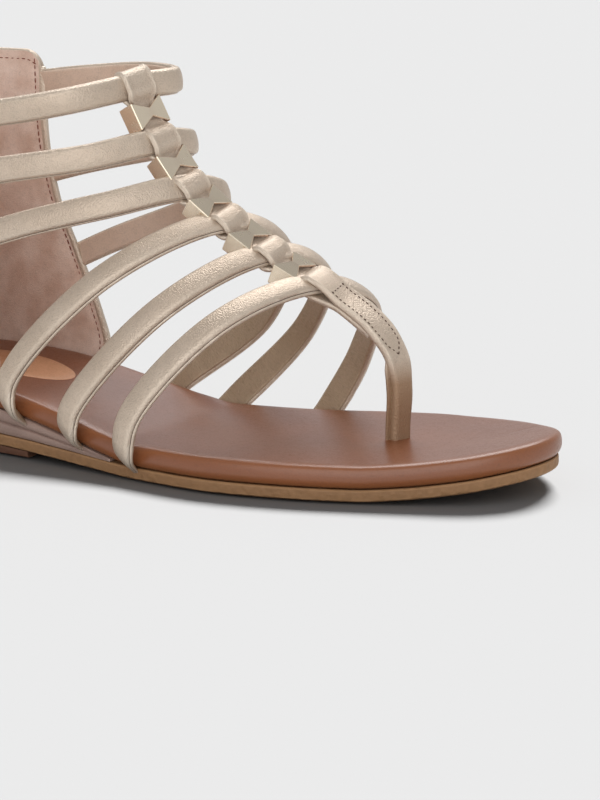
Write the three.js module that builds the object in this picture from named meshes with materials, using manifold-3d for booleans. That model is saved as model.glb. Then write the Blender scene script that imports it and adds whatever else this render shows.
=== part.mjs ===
// A flat gladiator sandal for the right foot, women's EU 38.
// Six rolled straps cross the foot, a studded spine band joins them, and the band runs down to a toe post.
// Millimetres. +X points to the toe, +Y to the inner side of the foot, +Z up. The sole stands on Z = 0.
import * as THREE from 'three';
import { mergeVertices } from 'three/addons/utils/BufferGeometryUtils.js';
import Module from 'manifold-3d';

const wasm = await Module();
wasm.setup();

// Driving dimensions.
const FOOTBED_LENGTH = 250;
const FOOTBED_THICKNESS = 7.1;
const OUTSOLE_THICKNESS = 3.9;
const OUTSOLE_INSET = 0.9;
const OUTSOLE_BEVEL = 0.4;
const WEDGE_END = 119;
const WEDGE_INSET = 0.9;
const HEEL_BREAST = 83;
const HEEL_INSET = 2.2;
const GAP = 0.3;
const STRAP_WIDTH = 8.6;
const STRAP_THICKNESS = 3.2;
const STRAP_END_THICKNESS = 1.5;
const STRAP_TAPER = 0.07;
const SPINE_WIDTH = 11.4;
const SPINE_LAYER = 1.4;
const SPINE_PINCH_WIDTH = 9.6;
const POST_WIDTH = 7.4;
const POST_THICKNESS = 3.8;
const STUD_LENGTH = 9;
const STUD_WALL = 0.8;
const STUD_ROOM = 0.5;
const STUD_RISE = 1.4;
const STUD_SINK = 0.9;
const STUD_TAIL = 1.8;
const STUD_HALF_ACROSS = SPINE_PINCH_WIDTH / 2 + STUD_ROOM + STUD_WALL;
const STUD_HALF_OUT = SPINE_LAYER + STUD_ROOM + STUD_WALL;
const SHAFT_WALL = 2.2;
const SHAFT_TOP = 124;
const SHAFT_CORNER = 7;
const SHAFT_BLEND = 24;
const SHAFT_OUTER_SETBACK = 4;
const SHAFT_ROUND_SHARE = 0.62;
const ANKLE_DEPTH = 32;
const CUTTER_SPREAD = 8;

// Resolution of the lofts.
const FOOT_STATIONS = 40;
const STRAP_STEPS = 30;
const STRAP_SIDES = 10;
const SPINE_STEPS = 54;
const SHAFT_COLUMNS = 32;
const SHAFT_ROWS = 11;

// Plan of the footbed: its outer and inner edge at each distance from the back of the heel.
const FOOTBED = [
  { along: 3, outer: -10.5, inner: 9.5 },
  { along: 12, outer: -19.5, inner: 18.5 },
  { along: 35, outer: -28.5, inner: 26 },
  { along: 65, outer: -32, inner: 27 },
  { along: 100, outer: -37, inner: 27 },
  { along: 130, outer: -42.8, inner: 29.5 },
  { along: 155, outer: -45.8, inner: 34 },
  { along: 180, outer: -42.8, inner: 43 },
  { along: 200, outer: -37.2, inner: 47.5 },
  { along: 220, outer: -29, inner: 42.8 },
  { along: 237, outer: -19.5, inner: 30.5 },
  { along: 247, outer: -7.5, inner: 18 },
];
const HEEL_CENTRE = -0.5;
const TOE_CENTRE = 5.5;

// Side profile: how far the outsole stands off the ground, and the wedge between outsole and footbed.
const PROFILE = [
  { along: 0, lift: 4.4, wedge: 9.8 },
  { along: 30, lift: 4.1, wedge: 9.9 },
  { along: 60, lift: 3.4, wedge: 9.2 },
  { along: 80, lift: 2.5, wedge: 7.2 },
  { along: 100, lift: 1.3, wedge: 4.2 },
  { along: 115, lift: 0.5, wedge: 1.6 },
  { along: 128, lift: 0, wedge: 0 },
  { along: 200, lift: 0, wedge: 0 },
  { along: 215, lift: 0.9, wedge: 0 },
  { along: 230, lift: 2.8, wedge: 0 },
  { along: 250, lift: 6.4, wedge: 0 },
];

// Heel shaft: its back, its front edge and its half width at each height.
const SHAFT = [
  { height: 17, back: -1.4, front: 70, half: 30 },
  { height: 28, back: -1.8, front: 76, half: 30 },
  { height: 40, back: -1, front: 73, half: 29 },
  { height: 60, back: 3.5, front: 65.2, half: 28 },
  { height: 80, back: 8, front: 57.3, half: 27.5 },
  { height: 100, back: 9.5, front: 53.5, half: 27.5 },
  { height: 126, back: 8, front: 52, half: 28.5 },
];

// Straps from the ankle to the ball.
// Each row follows the middle of a strap from its outer end over the foot to its inner end.
const STRAPS = [
  {
    outerEnd: [45, -28, 107.6], outerTuck: [58, -28, 108.7], outerSide: [72, -27, 110],
    outerShoulder: [93, -20.5, 114], ridge: [105.2, 0.5, 117.4],
    innerShoulder: [110.8, 16, 118.2],
    innerSide: [92, 28, 118], innerTuck: [68, 28.3, 115.8], innerEnd: [49, 28.4, 113.3],
  },
  {
    outerEnd: [47, -28, 87.4], outerTuck: [61, -28, 89.6], outerSide: [76, -27, 92.4],
    outerShoulder: [99, -19.5, 96.3], ridge: [114, 1, 100.2],
    innerShoulder: [117, 15, 98.5],
    innerSide: [99, 28, 95], innerTuck: [72, 28.4, 89], innerEnd: [51.5, 28, 83.4],
  },
  {
    outerEnd: [54, -28.5, 67.5], outerTuck: [68, -28, 71.1], outerSide: [83, -26.5, 75.7],
    outerShoulder: [106, -19.5, 81.7], ridge: [124.5, 1.5, 86.1],
    innerShoulder: [129.4, 14, 82.7],
    innerSide: [105, 29.5, 72.5], innerTuck: [80, 29.4, 62.6], innerEnd: [62, 28.8, 54.4],
  },
  {
    outerEnd: [80.8, -32.6, 13.6], outerTuck: [80.6, -38.6, 18], outerSide: [81.5, -40, 27],
    outerShoulder: [112, -31, 61], ridge: [138, 2, 75.9],
    innerShoulder: [148.2, 20, 67.1],
    innerSide: [132.5, 35.5, 39.5], innerTuck: [105, 30.6, 17.2], innerEnd: [98.5, 26.5, 10.2],
  },
  {
    outerEnd: [104, -36.4, 8.8], outerTuck: [104.8, -41.8, 12.6], outerSide: [107, -43, 21],
    outerShoulder: [133, -31, 52.8], ridge: [152.7, 2.5, 66.7],
    innerShoulder: [161.9, 20, 60.6],
    innerSide: [147, 37, 36.5], innerTuck: [124.6, 31.6, 11.4], innerEnd: [120.5, 27, 5.6],
  },
  {
    outerEnd: [126.5, -40.8, 4.6], outerTuck: [127.4, -45.6, 8.8], outerSide: [130.5, -46.4, 21.5],
    outerShoulder: [152, -30, 49.3], ridge: [169.4, 3.5, 58.2],
    innerShoulder: [178, 21.5, 51],
    innerSide: [167, 38, 29.5], innerTuck: [156.2, 37, 10], innerEnd: [153.5, 33, 4.6],
  },
];

// The spine band below the last strap: it narrows through the stitched tab into the toe post.
const POST = [
  { middle: [179.5, 4.6, 53.2], width: 11.6, thickness: 2.8 },
  { middle: [189.6, 5, 46], width: 10.4, thickness: 2.8 },
  { middle: [196, 5.4, 37.2], width: 8.8, thickness: 3.2 },
  { middle: [197.8, 5.6, 27], width: 7.6, thickness: POST_THICKNESS },
  { middle: [197.2, 5.8, 15], width: POST_WIDTH, thickness: POST_THICKNESS },
  { middle: [197.2, 5.8, 4.3], width: POST_WIDTH, thickness: POST_THICKNESS },
];

// Reads a column of a table at any place between its rows, without overshoot.
function read(table, key, column, place) {
  const last = table.length - 1;
  let row = 0;
  while (row < last - 1 && place > table[row + 1][key]) {
    row += 1;
  }
  const slope = (i) => (table[i + 1][column] - table[i][column]) / (table[i + 1][key] - table[i][key]);
  const tangent = (i) => {
    if (i === 0 || i === last) {
      return i === 0 ? slope(0) : slope(last - 1);
    }
    const before = slope(i - 1);
    const after = slope(i);
    return before * after <= 0 ? 0 : (2 * before * after) / (before + after);
  };
  const span = table[row + 1][key] - table[row][key];
  const t = THREE.MathUtils.clamp((place - table[row][key]) / span, 0, 1);
  const rise = table[row + 1][column] - table[row][column];
  const startTangent = tangent(row) * span;
  const endTangent = tangent(row + 1) * span;
  const bend = startTangent + endTangent - 2 * rise;
  const sag = 3 * rise - 2 * startTangent - endTangent;
  return table[row][column] + startTangent * t + sag * t * t + bend * t ** 3;
}

const lift = (x) => read(PROFILE, 'along', 'lift', x);
const outsoleTop = (x) => lift(x) + OUTSOLE_THICKNESS;
const footbedUnderside = (x) => outsoleTop(x) + read(PROFILE, 'along', 'wedge', x);

// The footbed's edge as one smooth closed curve through the plan's rows.
const footbedEdge = new THREE.CatmullRomCurve3(
  [
    new THREE.Vector3(0, HEEL_CENTRE, 0),
    ...FOOTBED.map((row) => new THREE.Vector3(row.along, row.outer, 0)),
    new THREE.Vector3(FOOTBED_LENGTH, TOE_CENTRE, 0),
    ...FOOTBED.toReversed().map((row) => new THREE.Vector3(row.along, row.inner, 0)),
  ],
  true,
  'centripetal',
).getPoints(720);
const heelBack = Math.min(...footbedEdge.map((point) => point.x));
const toeTip = Math.max(...footbedEdge.map((point) => point.x));

// The edge's distance to one side at a place along the foot: side is -1 for the outer edge, 1 for the inner.
function edgeAt(x, side) {
  for (let i = 1; i < footbedEdge.length; i += 1) {
    const a = footbedEdge[i - 1];
    const b = footbedEdge[i];
    const forward = b.x > a.x;
    if (forward === (side < 0) && (a.x - x) * (b.x - x) <= 0) {
      return THREE.MathUtils.lerp(a.y, b.y, (x - a.x) / (b.x - a.x));
    }
  }
  return side < 0 ? HEEL_CENTRE : TOE_CENTRE;
}

// Plan loop of the foot between two places, forward along the outer edge and back along the inner one.
function footLoop(end) {
  const outer = [];
  const inner = [];
  for (let i = 0; i < FOOT_STATIONS; i += 1) {
    const turn = ((i + 0.5) / FOOT_STATIONS) * Math.PI;
    const whole = THREE.MathUtils.lerp(heelBack, toeTip, (1 - Math.cos(turn)) / 2);
    const blunt = heelBack + (end - heelBack) * (1 - Math.cos(turn / 2));
    const x = end < toeTip ? blunt : whole;
    outer.push(new THREE.Vector2(x, edgeAt(x, -1)));
    inner.push(new THREE.Vector2(x, edgeAt(x, 1)));
  }
  return [...outer, ...inner.reverse()];
}

// Moves a closed plan loop inwards by a distance, along its own normals.
function inset(loop, distance) {
  return loop.map((point, i) => {
    const before = loop[(i + loop.length - 1) % loop.length];
    const after = loop[(i + 1) % loop.length];
    const along = after.clone().sub(before).normalize();
    return new THREE.Vector2(point.x - along.y * distance, point.y + along.x * distance);
  });
}

// Joins closed loops of equal count into one closed solid, with ladder caps on both ends.
function loft(loops) {
  const count = loops[0].length;
  const positions = loops.flat().flatMap((point) => [point.x, point.y, point.z]);
  const index = [];
  for (let k = 0; k < loops.length - 1; k += 1) {
    for (let i = 0; i < count; i += 1) {
      const a = k * count + i;
      const b = k * count + ((i + 1) % count);
      index.push(a, b, b + count, a, b + count, a + count);
    }
  }
  const lastLoop = (loops.length - 1) * count;
  for (let i = 0; i < count / 2 - 1; i += 1) {
    const j = count - 1 - i;
    index.push(i, j, i + 1, i + 1, j, j - 1);
    index.push(lastLoop + i, lastLoop + i + 1, lastLoop + j);
    index.push(lastLoop + i + 1, lastLoop + j - 1, lastLoop + j);
  }
  const geometry = new THREE.BufferGeometry();
  geometry.setAttribute('position', new THREE.Float32BufferAttribute(positions, 3));
  geometry.setIndex(index);
  if (volume(geometry) < 0) {
    geometry.setIndex(index.toReversed());
  }
  return geometry;
}

function volume(geometry) {
  const { position } = geometry.attributes;
  const at = (i) => new THREE.Vector3().fromBufferAttribute(position, geometry.index.getX(i));
  let sum = 0;
  for (let i = 0; i < geometry.index.count; i += 3) {
    sum += at(i).dot(at(i + 1).cross(at(i + 2)));
  }
  return sum / 6;
}

function toManifold(geometry) {
  const bare = geometry.clone();
  bare.deleteAttribute('normal');
  bare.deleteAttribute('uv');
  const merged = mergeVertices(bare, 1e-4);
  return new wasm.Manifold(
    new wasm.Mesh({
      numProp: 3,
      vertProperties: new Float32Array(merged.attributes.position.array),
      triVerts: new Uint32Array(merged.index.array),
    }),
  );
}

function fromManifold(manifold) {
  const mesh = manifold.getMesh();
  const geometry = new THREE.BufferGeometry();
  geometry.setAttribute('position', new THREE.Float32BufferAttribute(mesh.vertProperties, 3));
  geometry.setIndex(Array.from(mesh.triVerts));
  return geometry;
}

// A layer of the sole: plan loops set in by a distance at each height above a base line.
function soleLayer(end, rows) {
  const loop = footLoop(end);
  return loft(
    rows.map((row) => inset(loop, row.inset).map((p) => new THREE.Vector3(p.x, p.y, row.height(p.x)))),
  );
}

function outsole() {
  return soleLayer(toeTip, [
    { inset: OUTSOLE_INSET + OUTSOLE_BEVEL, height: lift },
    { inset: OUTSOLE_INSET, height: (x) => lift(x) + 1 },
    { inset: OUTSOLE_INSET, height: (x) => outsoleTop(x) - GAP / 2 },
  ]);
}

function heelBlock() {
  return soleLayer(HEEL_BREAST, [
    { inset: HEEL_INSET + 0.4, height: () => 0 },
    { inset: HEEL_INSET, height: (x) => lift(x) - GAP },
  ]);
}

function midsole() {
  return soleLayer(WEDGE_END, [
    { inset: WEDGE_INSET, height: (x) => outsoleTop(x) + GAP / 2 },
    { inset: WEDGE_INSET, height: (x) => footbedUnderside(x) - GAP / 2 },
  ]);
}

function footbed() {
  const above = (height) => (x) => footbedUnderside(x) + GAP / 2 + height;
  return soleLayer(toeTip, [
    { inset: 2.2, height: above(0) },
    { inset: 0.6, height: above(1) },
    { inset: 0, height: above(3) },
    { inset: 0.2, height: above(4.9) },
    { inset: 1.3, height: above(6.4) },
    { inset: 3.2, height: above(FOOTBED_THICKNESS - GAP / 2) },
  ]);
}

// Everything below the footbed, spread past the edge: it trims the strap ends to rest above the sole.
function belowFootbed() {
  return soleLayer(toeTip, [
    { inset: -CUTTER_SPREAD, height: () => -1 },
    { inset: -CUTTER_SPREAD, height: (x) => footbedUnderside(x) + GAP / 2 },
  ]);
}

// The shaft's front edge at a height. On the outer side it stands further back.
function shaftFront(side, height) {
  return read(SHAFT, 'height', 'front', height) - (side < 0 ? SHAFT_OUTER_SETBACK : 0);
}

// Plan of the heel shaft's middle surface. Place runs from -1 at the outer front edge to 1 at the inner one.
function shaftPlan(place, height) {
  const side = Math.sign(place) || 1;
  const back = read(SHAFT, 'height', 'back', height);
  const front = shaftFront(side, height);
  const half = read(SHAFT, 'height', 'half', height);
  const reach = Math.abs(place) / SHAFT_ROUND_SHARE;
  const ankle = new THREE.Vector2();
  if (reach < 1) {
    const turn = (reach * Math.PI) / 2;
    ankle.set(back + ANKLE_DEPTH * (1 - Math.cos(turn)), side * half * Math.sin(turn));
  } else {
    const run = (Math.abs(place) - SHAFT_ROUND_SHARE) / (1 - SHAFT_ROUND_SHARE);
    ankle.set(THREE.MathUtils.lerp(back + ANKLE_DEPTH, front, run), side * half);
  }
  const onEdge = new THREE.Vector2(ankle.x, edgeAt(Math.max(ankle.x - back, 0.05) + 0.05, side));
  const offEdge = GAP + SHAFT_WALL / 2;
  onEdge.y += side * offEdge * Math.min(1, Math.abs(place) * 6);
  const rise = THREE.MathUtils.smoothstep(height, footbedUnderside(0), footbedUnderside(0) + SHAFT_BLEND);
  return onEdge.lerp(ankle, rise);
}

// The wall of the heel shaft, grown on every face by a clearance where it serves as a cutter.
function heelShaft(grow = 0) {
  const loops = [];
  for (let row = 0; row <= SHAFT_ROWS; row += 1) {
    const rise = row / SHAFT_ROWS;
    const level = THREE.MathUtils.lerp(footbedUnderside(0), SHAFT_TOP, rise);
    const middle = [];
    for (let column = 0; column <= SHAFT_COLUMNS; column += 1) {
      const even = (2 * column) / SHAFT_COLUMNS - 1;
      const place = Math.sign(even) * (1 - (1 - Math.abs(even)) ** 1.4);
      middle.push(shaftPlan(place, level));
    }
    const wall = (offset) => middle.map((point, i) => {
      const before = middle[Math.max(i - 1, 0)];
      const after = middle[Math.min(i + 1, SHAFT_COLUMNS)];
      const along = after.clone().sub(before).normalize();
      const cut = Math.max(SHAFT_CORNER - (shaftFront(Math.sign(point.y), level) - point.x), 0);
      const drop = SHAFT_CORNER - Math.sqrt(SHAFT_CORNER ** 2 - Math.min(cut, SHAFT_CORNER * 0.98) ** 2);
      const bottom = footbedUnderside(point.x) + GAP - grow;
      const z = THREE.MathUtils.lerp(bottom, SHAFT_TOP - drop + grow, rise);
      const end = i === 0 || i === SHAFT_COLUMNS ? grow : 0;
      return new THREE.Vector3(point.x + along.y * offset + end, point.y - along.x * offset, z);
    });
    const reach = SHAFT_WALL / 2 + grow;
    loops.push([...wall(reach), ...wall(-reach).reverse()]);
  }
  return loft(loops);
}

// Sweeps an oval section along a path. Each stop has a middle, a direction across and a width and thickness.
function band(stops, sides) {
  return loft(
    stops.map((stop, k) => {
      const before = stops[Math.max(k - 1, 0)].middle;
      const after = stops[Math.min(k + 1, stops.length - 1)].middle;
      const along = after.clone().sub(before).normalize();
      const across = stop.across.clone().addScaledVector(along, -stop.across.dot(along)).normalize();
      const out = along.clone().cross(across);
      return Array.from({ length: sides }, (_, i) => {
        const turn = ((i + 0.5) / sides) * 2 * Math.PI;
        const flat = Math.sign(Math.cos(turn)) * Math.abs(Math.cos(turn)) ** 0.7;
        return stop.middle
          .clone()
          .addScaledVector(across, (flat * stop.width) / 2)
          .addScaledVector(out, (Math.sin(turn) * stop.thickness) / 2);
      });
    }),
  );
}

const toVector = (place) => new THREE.Vector3(...place);

function strapCurve(strap) {
  const columns = [
    'outerEnd', 'outerTuck', 'outerSide', 'outerShoulder', 'ridge',
    'innerShoulder', 'innerSide', 'innerTuck', 'innerEnd',
  ];
  return new THREE.CatmullRomCurve3(columns.map((column) => toVector(strap[column])), false, 'centripetal');
}

// The direction across a strap's hoop: the normal of the plane that its path lies in.
function hoopNormal(points) {
  const sum = new THREE.Vector3();
  points.forEach((point, i) => {
    sum.add(point.clone().cross(points[(i + 1) % points.length]));
  });
  return sum.normalize();
}

function strap(row, grow = 0) {
  const points = strapCurve(row).getSpacedPoints(STRAP_STEPS);
  const across = hoopNormal(points);
  return band(
    points.map((middle, k) => {
      const t = k / STRAP_STEPS;
      const fade = THREE.MathUtils.clamp(Math.min(t, 1 - t) / STRAP_TAPER, 0, 1);
      const thickness = THREE.MathUtils.lerp(STRAP_END_THICKNESS, STRAP_THICKNESS, fade);
      return { middle, across, width: STRAP_WIDTH + 2 * grow, thickness: thickness + 2 * grow };
    }),
    STRAP_SIDES,
  );
}

// Where the spine crosses a strap: the ridge and the strap's own direction there, kept level.
function crossing(row) {
  const across = strapCurve(row).getTangent(0.5).setZ(0).normalize();
  return { middle: toVector(row.ridge), across };
}

// Studs sit on the spine halfway between two crossings.
function studPlace(i) {
  const above = crossing(STRAPS[i]);
  const below = crossing(STRAPS[i + 1]);
  const middle = above.middle.clone().lerp(below.middle, 0.5);
  const down = below.middle.clone().sub(above.middle).normalize();
  const across = above.across.clone().add(below.across);
  across.addScaledVector(down, -across.dot(down)).normalize();
  const out = down.clone().cross(across);
  return { middle: middle.addScaledVector(out, -STUD_SINK), across, out };
}

// The spine band: thick where a strap runs through it, pinched flat under each stud, then the tab and post.
function spine(grow = 0) {
  const through = STRAP_THICKNESS + 2 * SPINE_LAYER;
  const pinched = 2 * SPINE_LAYER;
  const rows = [];
  STRAPS.forEach((row, i) => {
    const cross = crossing(row);
    if (i === 0) {
      const up = cross.middle.clone().sub(studPlace(0).middle).normalize();
      const above = cross.middle.clone().addScaledVector(up, STRAP_WIDTH / 2 + SPINE_LAYER);
      rows.push({ middle: above, across: cross.across, width: SPINE_WIDTH, thickness: through * 0.7 });
    }
    rows.push({ ...cross, width: SPINE_WIDTH, thickness: through });
    if (i < STRAPS.length - 1) {
      rows.push({ ...studPlace(i), width: SPINE_PINCH_WIDTH, thickness: pinched });
    }
  });
  const lastAcross = crossing(STRAPS.at(-1)).across;
  POST.forEach((row) => {
    const { width, thickness } = row;
    rows.push({ middle: toVector(row.middle), across: lastAcross, width, thickness });
  });
  const path = new THREE.CatmullRomCurve3(rows.map((row) => row.middle), false, 'centripetal');
  const stops = [];
  for (let k = 0; k <= SPINE_STEPS; k += 1) {
    const t = (k / SPINE_STEPS) * (rows.length - 1);
    const i = Math.min(Math.floor(t), rows.length - 2);
    const ease = THREE.MathUtils.smoothstep(t - i, 0, 1);
    stops.push({
      middle: path.getPoint(k / SPINE_STEPS),
      across: rows[i].across.clone().lerp(rows[i + 1].across, t - i),
      width: THREE.MathUtils.lerp(rows[i].width, rows[i + 1].width, ease) + 2 * grow,
      thickness: THREE.MathUtils.lerp(rows[i].thickness, rows[i + 1].thickness, ease) + 2 * grow,
    });
  }
  return band(stops, STRAP_SIDES);
}

// Straps and spine as one piece of leather, grown by a clearance where they serve as a cutter.
function strapCage(grow = 0) {
  let cage = toManifold(spine(grow));
  STRAPS.forEach((row) => {
    cage = cage.add(toManifold(strap(row, grow)));
  });
  return cage;
}

// A stud's sleeve, closed round the pinched spine, in its own axes: X across the band, Y outwards.
function studSleeve(grow = 0) {
  const room = 2 * (STUD_ROOM - grow);
  const inner = { across: SPINE_PINCH_WIDTH + room, out: 2 * SPINE_LAYER + room };
  const innerBack = -inner.out / 2 - STUD_TAIL;
  const outline = new THREE.Shape();
  const halfAcross = STUD_HALF_ACROSS + grow;
  const halfOut = STUD_HALF_OUT + grow;
  outline.moveTo(-halfAcross, -halfOut - STUD_TAIL);
  outline.lineTo(halfAcross, -halfOut - STUD_TAIL);
  outline.lineTo(halfAcross, halfOut);
  outline.lineTo(-halfAcross, halfOut);
  const hole = new THREE.Path();
  hole.moveTo(-inner.across / 2, innerBack);
  hole.lineTo(-inner.across / 2, inner.out / 2);
  hole.lineTo(inner.across / 2, inner.out / 2);
  hole.lineTo(inner.across / 2, innerBack);
  outline.holes.push(hole);
  const depth = STUD_LENGTH + 2 * grow;
  const sleeve = new THREE.ExtrudeGeometry(outline, { depth, bevelEnabled: false });
  return sleeve.translate(0, 0, -depth / 2);
}

// Turns a stud's own axes into its place on the spine.
function placeStud(geometry, i) {
  const place = studPlace(i);
  const turn = new THREE.Matrix4().makeBasis(place.across, place.out, place.across.clone().cross(place.out));
  return geometry.applyMatrix4(turn.setPosition(place.middle));
}

// The room that a stud takes from the leather: its sleeve and a block over its front, both with a clearance.
function studRoom(i) {
  const frontWidth = 2 * (STUD_HALF_ACROSS + GAP);
  const front = new THREE.BoxGeometry(frontWidth, STUD_RISE + 2 * GAP, STUD_LENGTH + 2 * GAP);
  front.translate(0, STUD_HALF_OUT + STUD_RISE / 2, 0);
  const room = toManifold(studSleeve(GAP)).add(toManifold(front));
  return toManifold(placeStud(fromManifold(room), i));
}

// A stud: its sleeve, with two raised pyramids on the front that meet at a waist.
function stud(i) {
  let body = toManifold(studSleeve());
  [-1, 1].forEach((side) => {
    const wing = new THREE.CylinderGeometry(0.4, 1, 1, 4, 1);
    wing.rotateY(Math.PI / 4);
    wing.scale(STUD_HALF_ACROSS * Math.SQRT1_2, STUD_RISE, STUD_LENGTH * Math.SQRT1_2);
    wing.translate((side * STUD_HALF_ACROSS) / 2, STUD_HALF_OUT + STUD_RISE / 2 - 0.1, 0);
    body = body.add(toManifold(wing));
  });
  return placeStud(fromManifold(body), i);
}

const leather = (color) => new THREE.MeshStandardMaterial({ color, roughness: 0.55, metalness: 0 });
const goldLeather = new THREE.MeshStandardMaterial({ color: 0xc9b79c, roughness: 0.42, metalness: 0.45 });
const studMetal = new THREE.MeshStandardMaterial({ color: 0xd8c39a, roughness: 0.2, metalness: 1 });

const sandal = new THREE.Group();
function addPiece(name, geometry, material) {
  const mesh = new THREE.Mesh(geometry, material.clone());
  mesh.name = name;
  sandal.add(mesh);
}

const shaftCutter = toManifold(heelShaft(GAP));
let cage = strapCage().subtract(shaftCutter).subtract(toManifold(belowFootbed()));
STRAPS.slice(1).forEach((_, i) => {
  cage = cage.subtract(studRoom(i));
});
const insole = toManifold(footbed()).subtract(strapCage(GAP + 0.05)).subtract(shaftCutter);
STRAPS.slice(1).forEach((_, i) => {
  const geometry = stud(i);
  addPiece(`stud_${i + 1}`, geometry, studMetal);
});
addPiece('outsole', outsole(), leather(0xb08a5e));
addPiece('heel_block', heelBlock(), leather(0x5a3a28));
addPiece('midsole_wedge', midsole(), leather(0x8d6a60));
addPiece('insole', fromManifold(insole), leather(0x8f5a40));
addPiece('heel_shaft', heelShaft(), goldLeather);
addPiece('strap_cage', fromManifold(cage), goldLeather);

// The part's origin is under the middle of its own box, on the ground.
const box = new THREE.Box3().setFromObject(sandal);
const centre = box.getCenter(new THREE.Vector3());
sandal.position.set(-centre.x, -centre.y, -box.min.z);

export default sandal;
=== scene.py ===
# %% [markdown]
# # A strappy sandal, piece by piece
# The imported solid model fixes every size, so it is loaded first and each piece below is placed from it.
# Lengths in the tables are millimetres, in the shoe's own frame: x runs forward from the back of the heel,
# y to the inner side of the foot, z up from the ground. Blender itself works in metres.

# %% Load the frame
import bpy
import numpy as np
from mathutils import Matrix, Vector


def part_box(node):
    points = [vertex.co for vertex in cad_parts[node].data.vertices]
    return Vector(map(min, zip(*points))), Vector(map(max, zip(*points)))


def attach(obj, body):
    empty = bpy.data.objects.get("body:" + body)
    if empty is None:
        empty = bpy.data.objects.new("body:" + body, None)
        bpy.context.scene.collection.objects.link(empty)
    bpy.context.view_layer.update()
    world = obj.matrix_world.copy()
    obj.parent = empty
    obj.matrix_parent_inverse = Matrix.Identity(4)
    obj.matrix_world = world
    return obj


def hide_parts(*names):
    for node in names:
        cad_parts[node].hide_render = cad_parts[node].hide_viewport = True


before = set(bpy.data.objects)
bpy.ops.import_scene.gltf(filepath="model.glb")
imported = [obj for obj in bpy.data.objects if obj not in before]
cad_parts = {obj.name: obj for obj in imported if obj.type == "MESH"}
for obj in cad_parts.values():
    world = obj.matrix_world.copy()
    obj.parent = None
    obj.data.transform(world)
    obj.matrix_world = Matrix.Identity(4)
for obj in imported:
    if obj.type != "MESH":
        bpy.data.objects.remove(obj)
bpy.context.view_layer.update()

MM = 0.001

# %% [markdown]
# ## Reading the size tables
# A last maker draws a shoe from a few measured stations and a flexible curve between them. Two helpers do the
# same: `read` draws a curve through one column of a table without overshoot, and `flowing` bends a curve
# through points in space.

# %% Curves from tables
def read(table, column, place):
    """Value of a column at any place along the table's first column, without overshoot."""
    rows = np.array(table, float)
    x, y = rows[:, 0], rows[:, column]
    slopes = np.diff(y) / np.diff(x)
    before, after = slopes[:-1], slopes[1:]
    agree = before * after > 0
    inner = np.where(agree, 2 * before * after / np.where(agree, before + after, 1), 0)
    tangents = np.concatenate(([slopes[0]], inner, [slopes[-1]]))
    row = np.clip(np.searchsorted(x, place) - 1, 0, len(x) - 2)
    span = x[row + 1] - x[row]
    t = np.clip((place - x[row]) / span, 0, 1)
    start, end = tangents[row] * span, tangents[row + 1] * span
    rise = y[row + 1] - y[row]
    return y[row] + start * t + (3 * rise - 2 * start - end) * t**2 + (start + end - 2 * rise) * t**3


def flowing(points, steps, closed=False):
    """Points on a smooth curve through the given ones, `steps` to each span."""
    p = np.array(points, float)
    if closed:
        p = np.vstack([p[-1], p, p[0], p[1]])
    else:
        p = np.vstack([2 * p[0] - p[1], p, 2 * p[-1] - p[-2]])
    curve = []
    for a, b, c, d in zip(p[:-3], p[1:-2], p[2:-1], p[3:]):
        ab, bc, cd = (max(np.linalg.norm(v) ** 0.5, 1e-4) for v in (b - a, c - b, d - c))
        start = ((b - a) / ab - (c - a) / (ab + bc) + (c - b) / bc) * bc
        end = ((c - b) / bc - (d - b) / (bc + cd) + (d - c) / cd) * bc
        for t in np.arange(steps) / steps:
            hermite = (3 * (c - b) - 2 * start - end) * t**2 + (2 * (b - c) + start + end) * t**3
            curve.append(b + start * t + hermite)
    return np.array(curve if closed else curve + [p[-2]])


def spaced(curve, count):
    """The same curve with evenly spaced points."""
    run = distances(curve)
    even = np.linspace(0, run[-1], count)
    return np.stack([np.interp(even, run, curve[:, k]) for k in range(curve.shape[1])], axis=1)


def unit(v):
    return v / np.maximum(np.linalg.norm(v, axis=-1, keepdims=True), 1e-9)


def square_to(along, across):
    """The part of `across` that is square to `along`, one unit long, at each point of a path."""
    return unit(across - along * np.sum(across * along, axis=1, keepdims=True))


def distances(curve):
    """How far along the curve each point is."""
    return np.concatenate(([0], np.cumsum(np.linalg.norm(np.diff(curve, axis=0), axis=1))))


def smooth(x, low=0.0, high=1.0):
    t = np.clip((np.asarray(x, float) - low) / (high - low), 0, 1)
    return t * t * (3 - 2 * t)


def bell(x, middle, width):
    return np.exp(-(((np.asarray(x, float) - middle) / width) ** 2))


print("helpers ready, middle of a test curve:", flowing([(0, 0), (1, 1), (2, 0)], 4)[4])

# %% Plan and side profile of the sole
PLAN = [  # along, outer edge, inner edge
    (3, -10.5, 9.5), (12, -19.5, 18.5), (35, -28.5, 26), (65, -32, 27), (100, -37, 27), (130, -42.8, 29.5),
    (155, -45.8, 34), (180, -42.8, 43), (200, -37.2, 47.5), (220, -29, 42.8), (237, -19.5, 30.5), (247, -7.5, 18),
]
PROFILE = [  # along, lift off the ground, wedge thickness
    (0, 4.4, 9.8), (30, 4.1, 9.9), (60, 3.4, 9.2), (80, 2.5, 7.2), (100, 1.3, 4.2), (115, 0.5, 1.6),
    (128, 0, 0), (200, 0, 0), (215, 0.9, 0), (230, 2.8, 0), (250, 6.4, 0),
]
SOLE_LENGTH = 250
HEEL_CENTRE = -0.5
TOE_CENTRE = 5.5
OUTSOLE_THICKNESS = 3.9
FIRST_STATION = 0.1
LAYER_GAP = 0.15  # left above and below the joint of two layers

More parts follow.
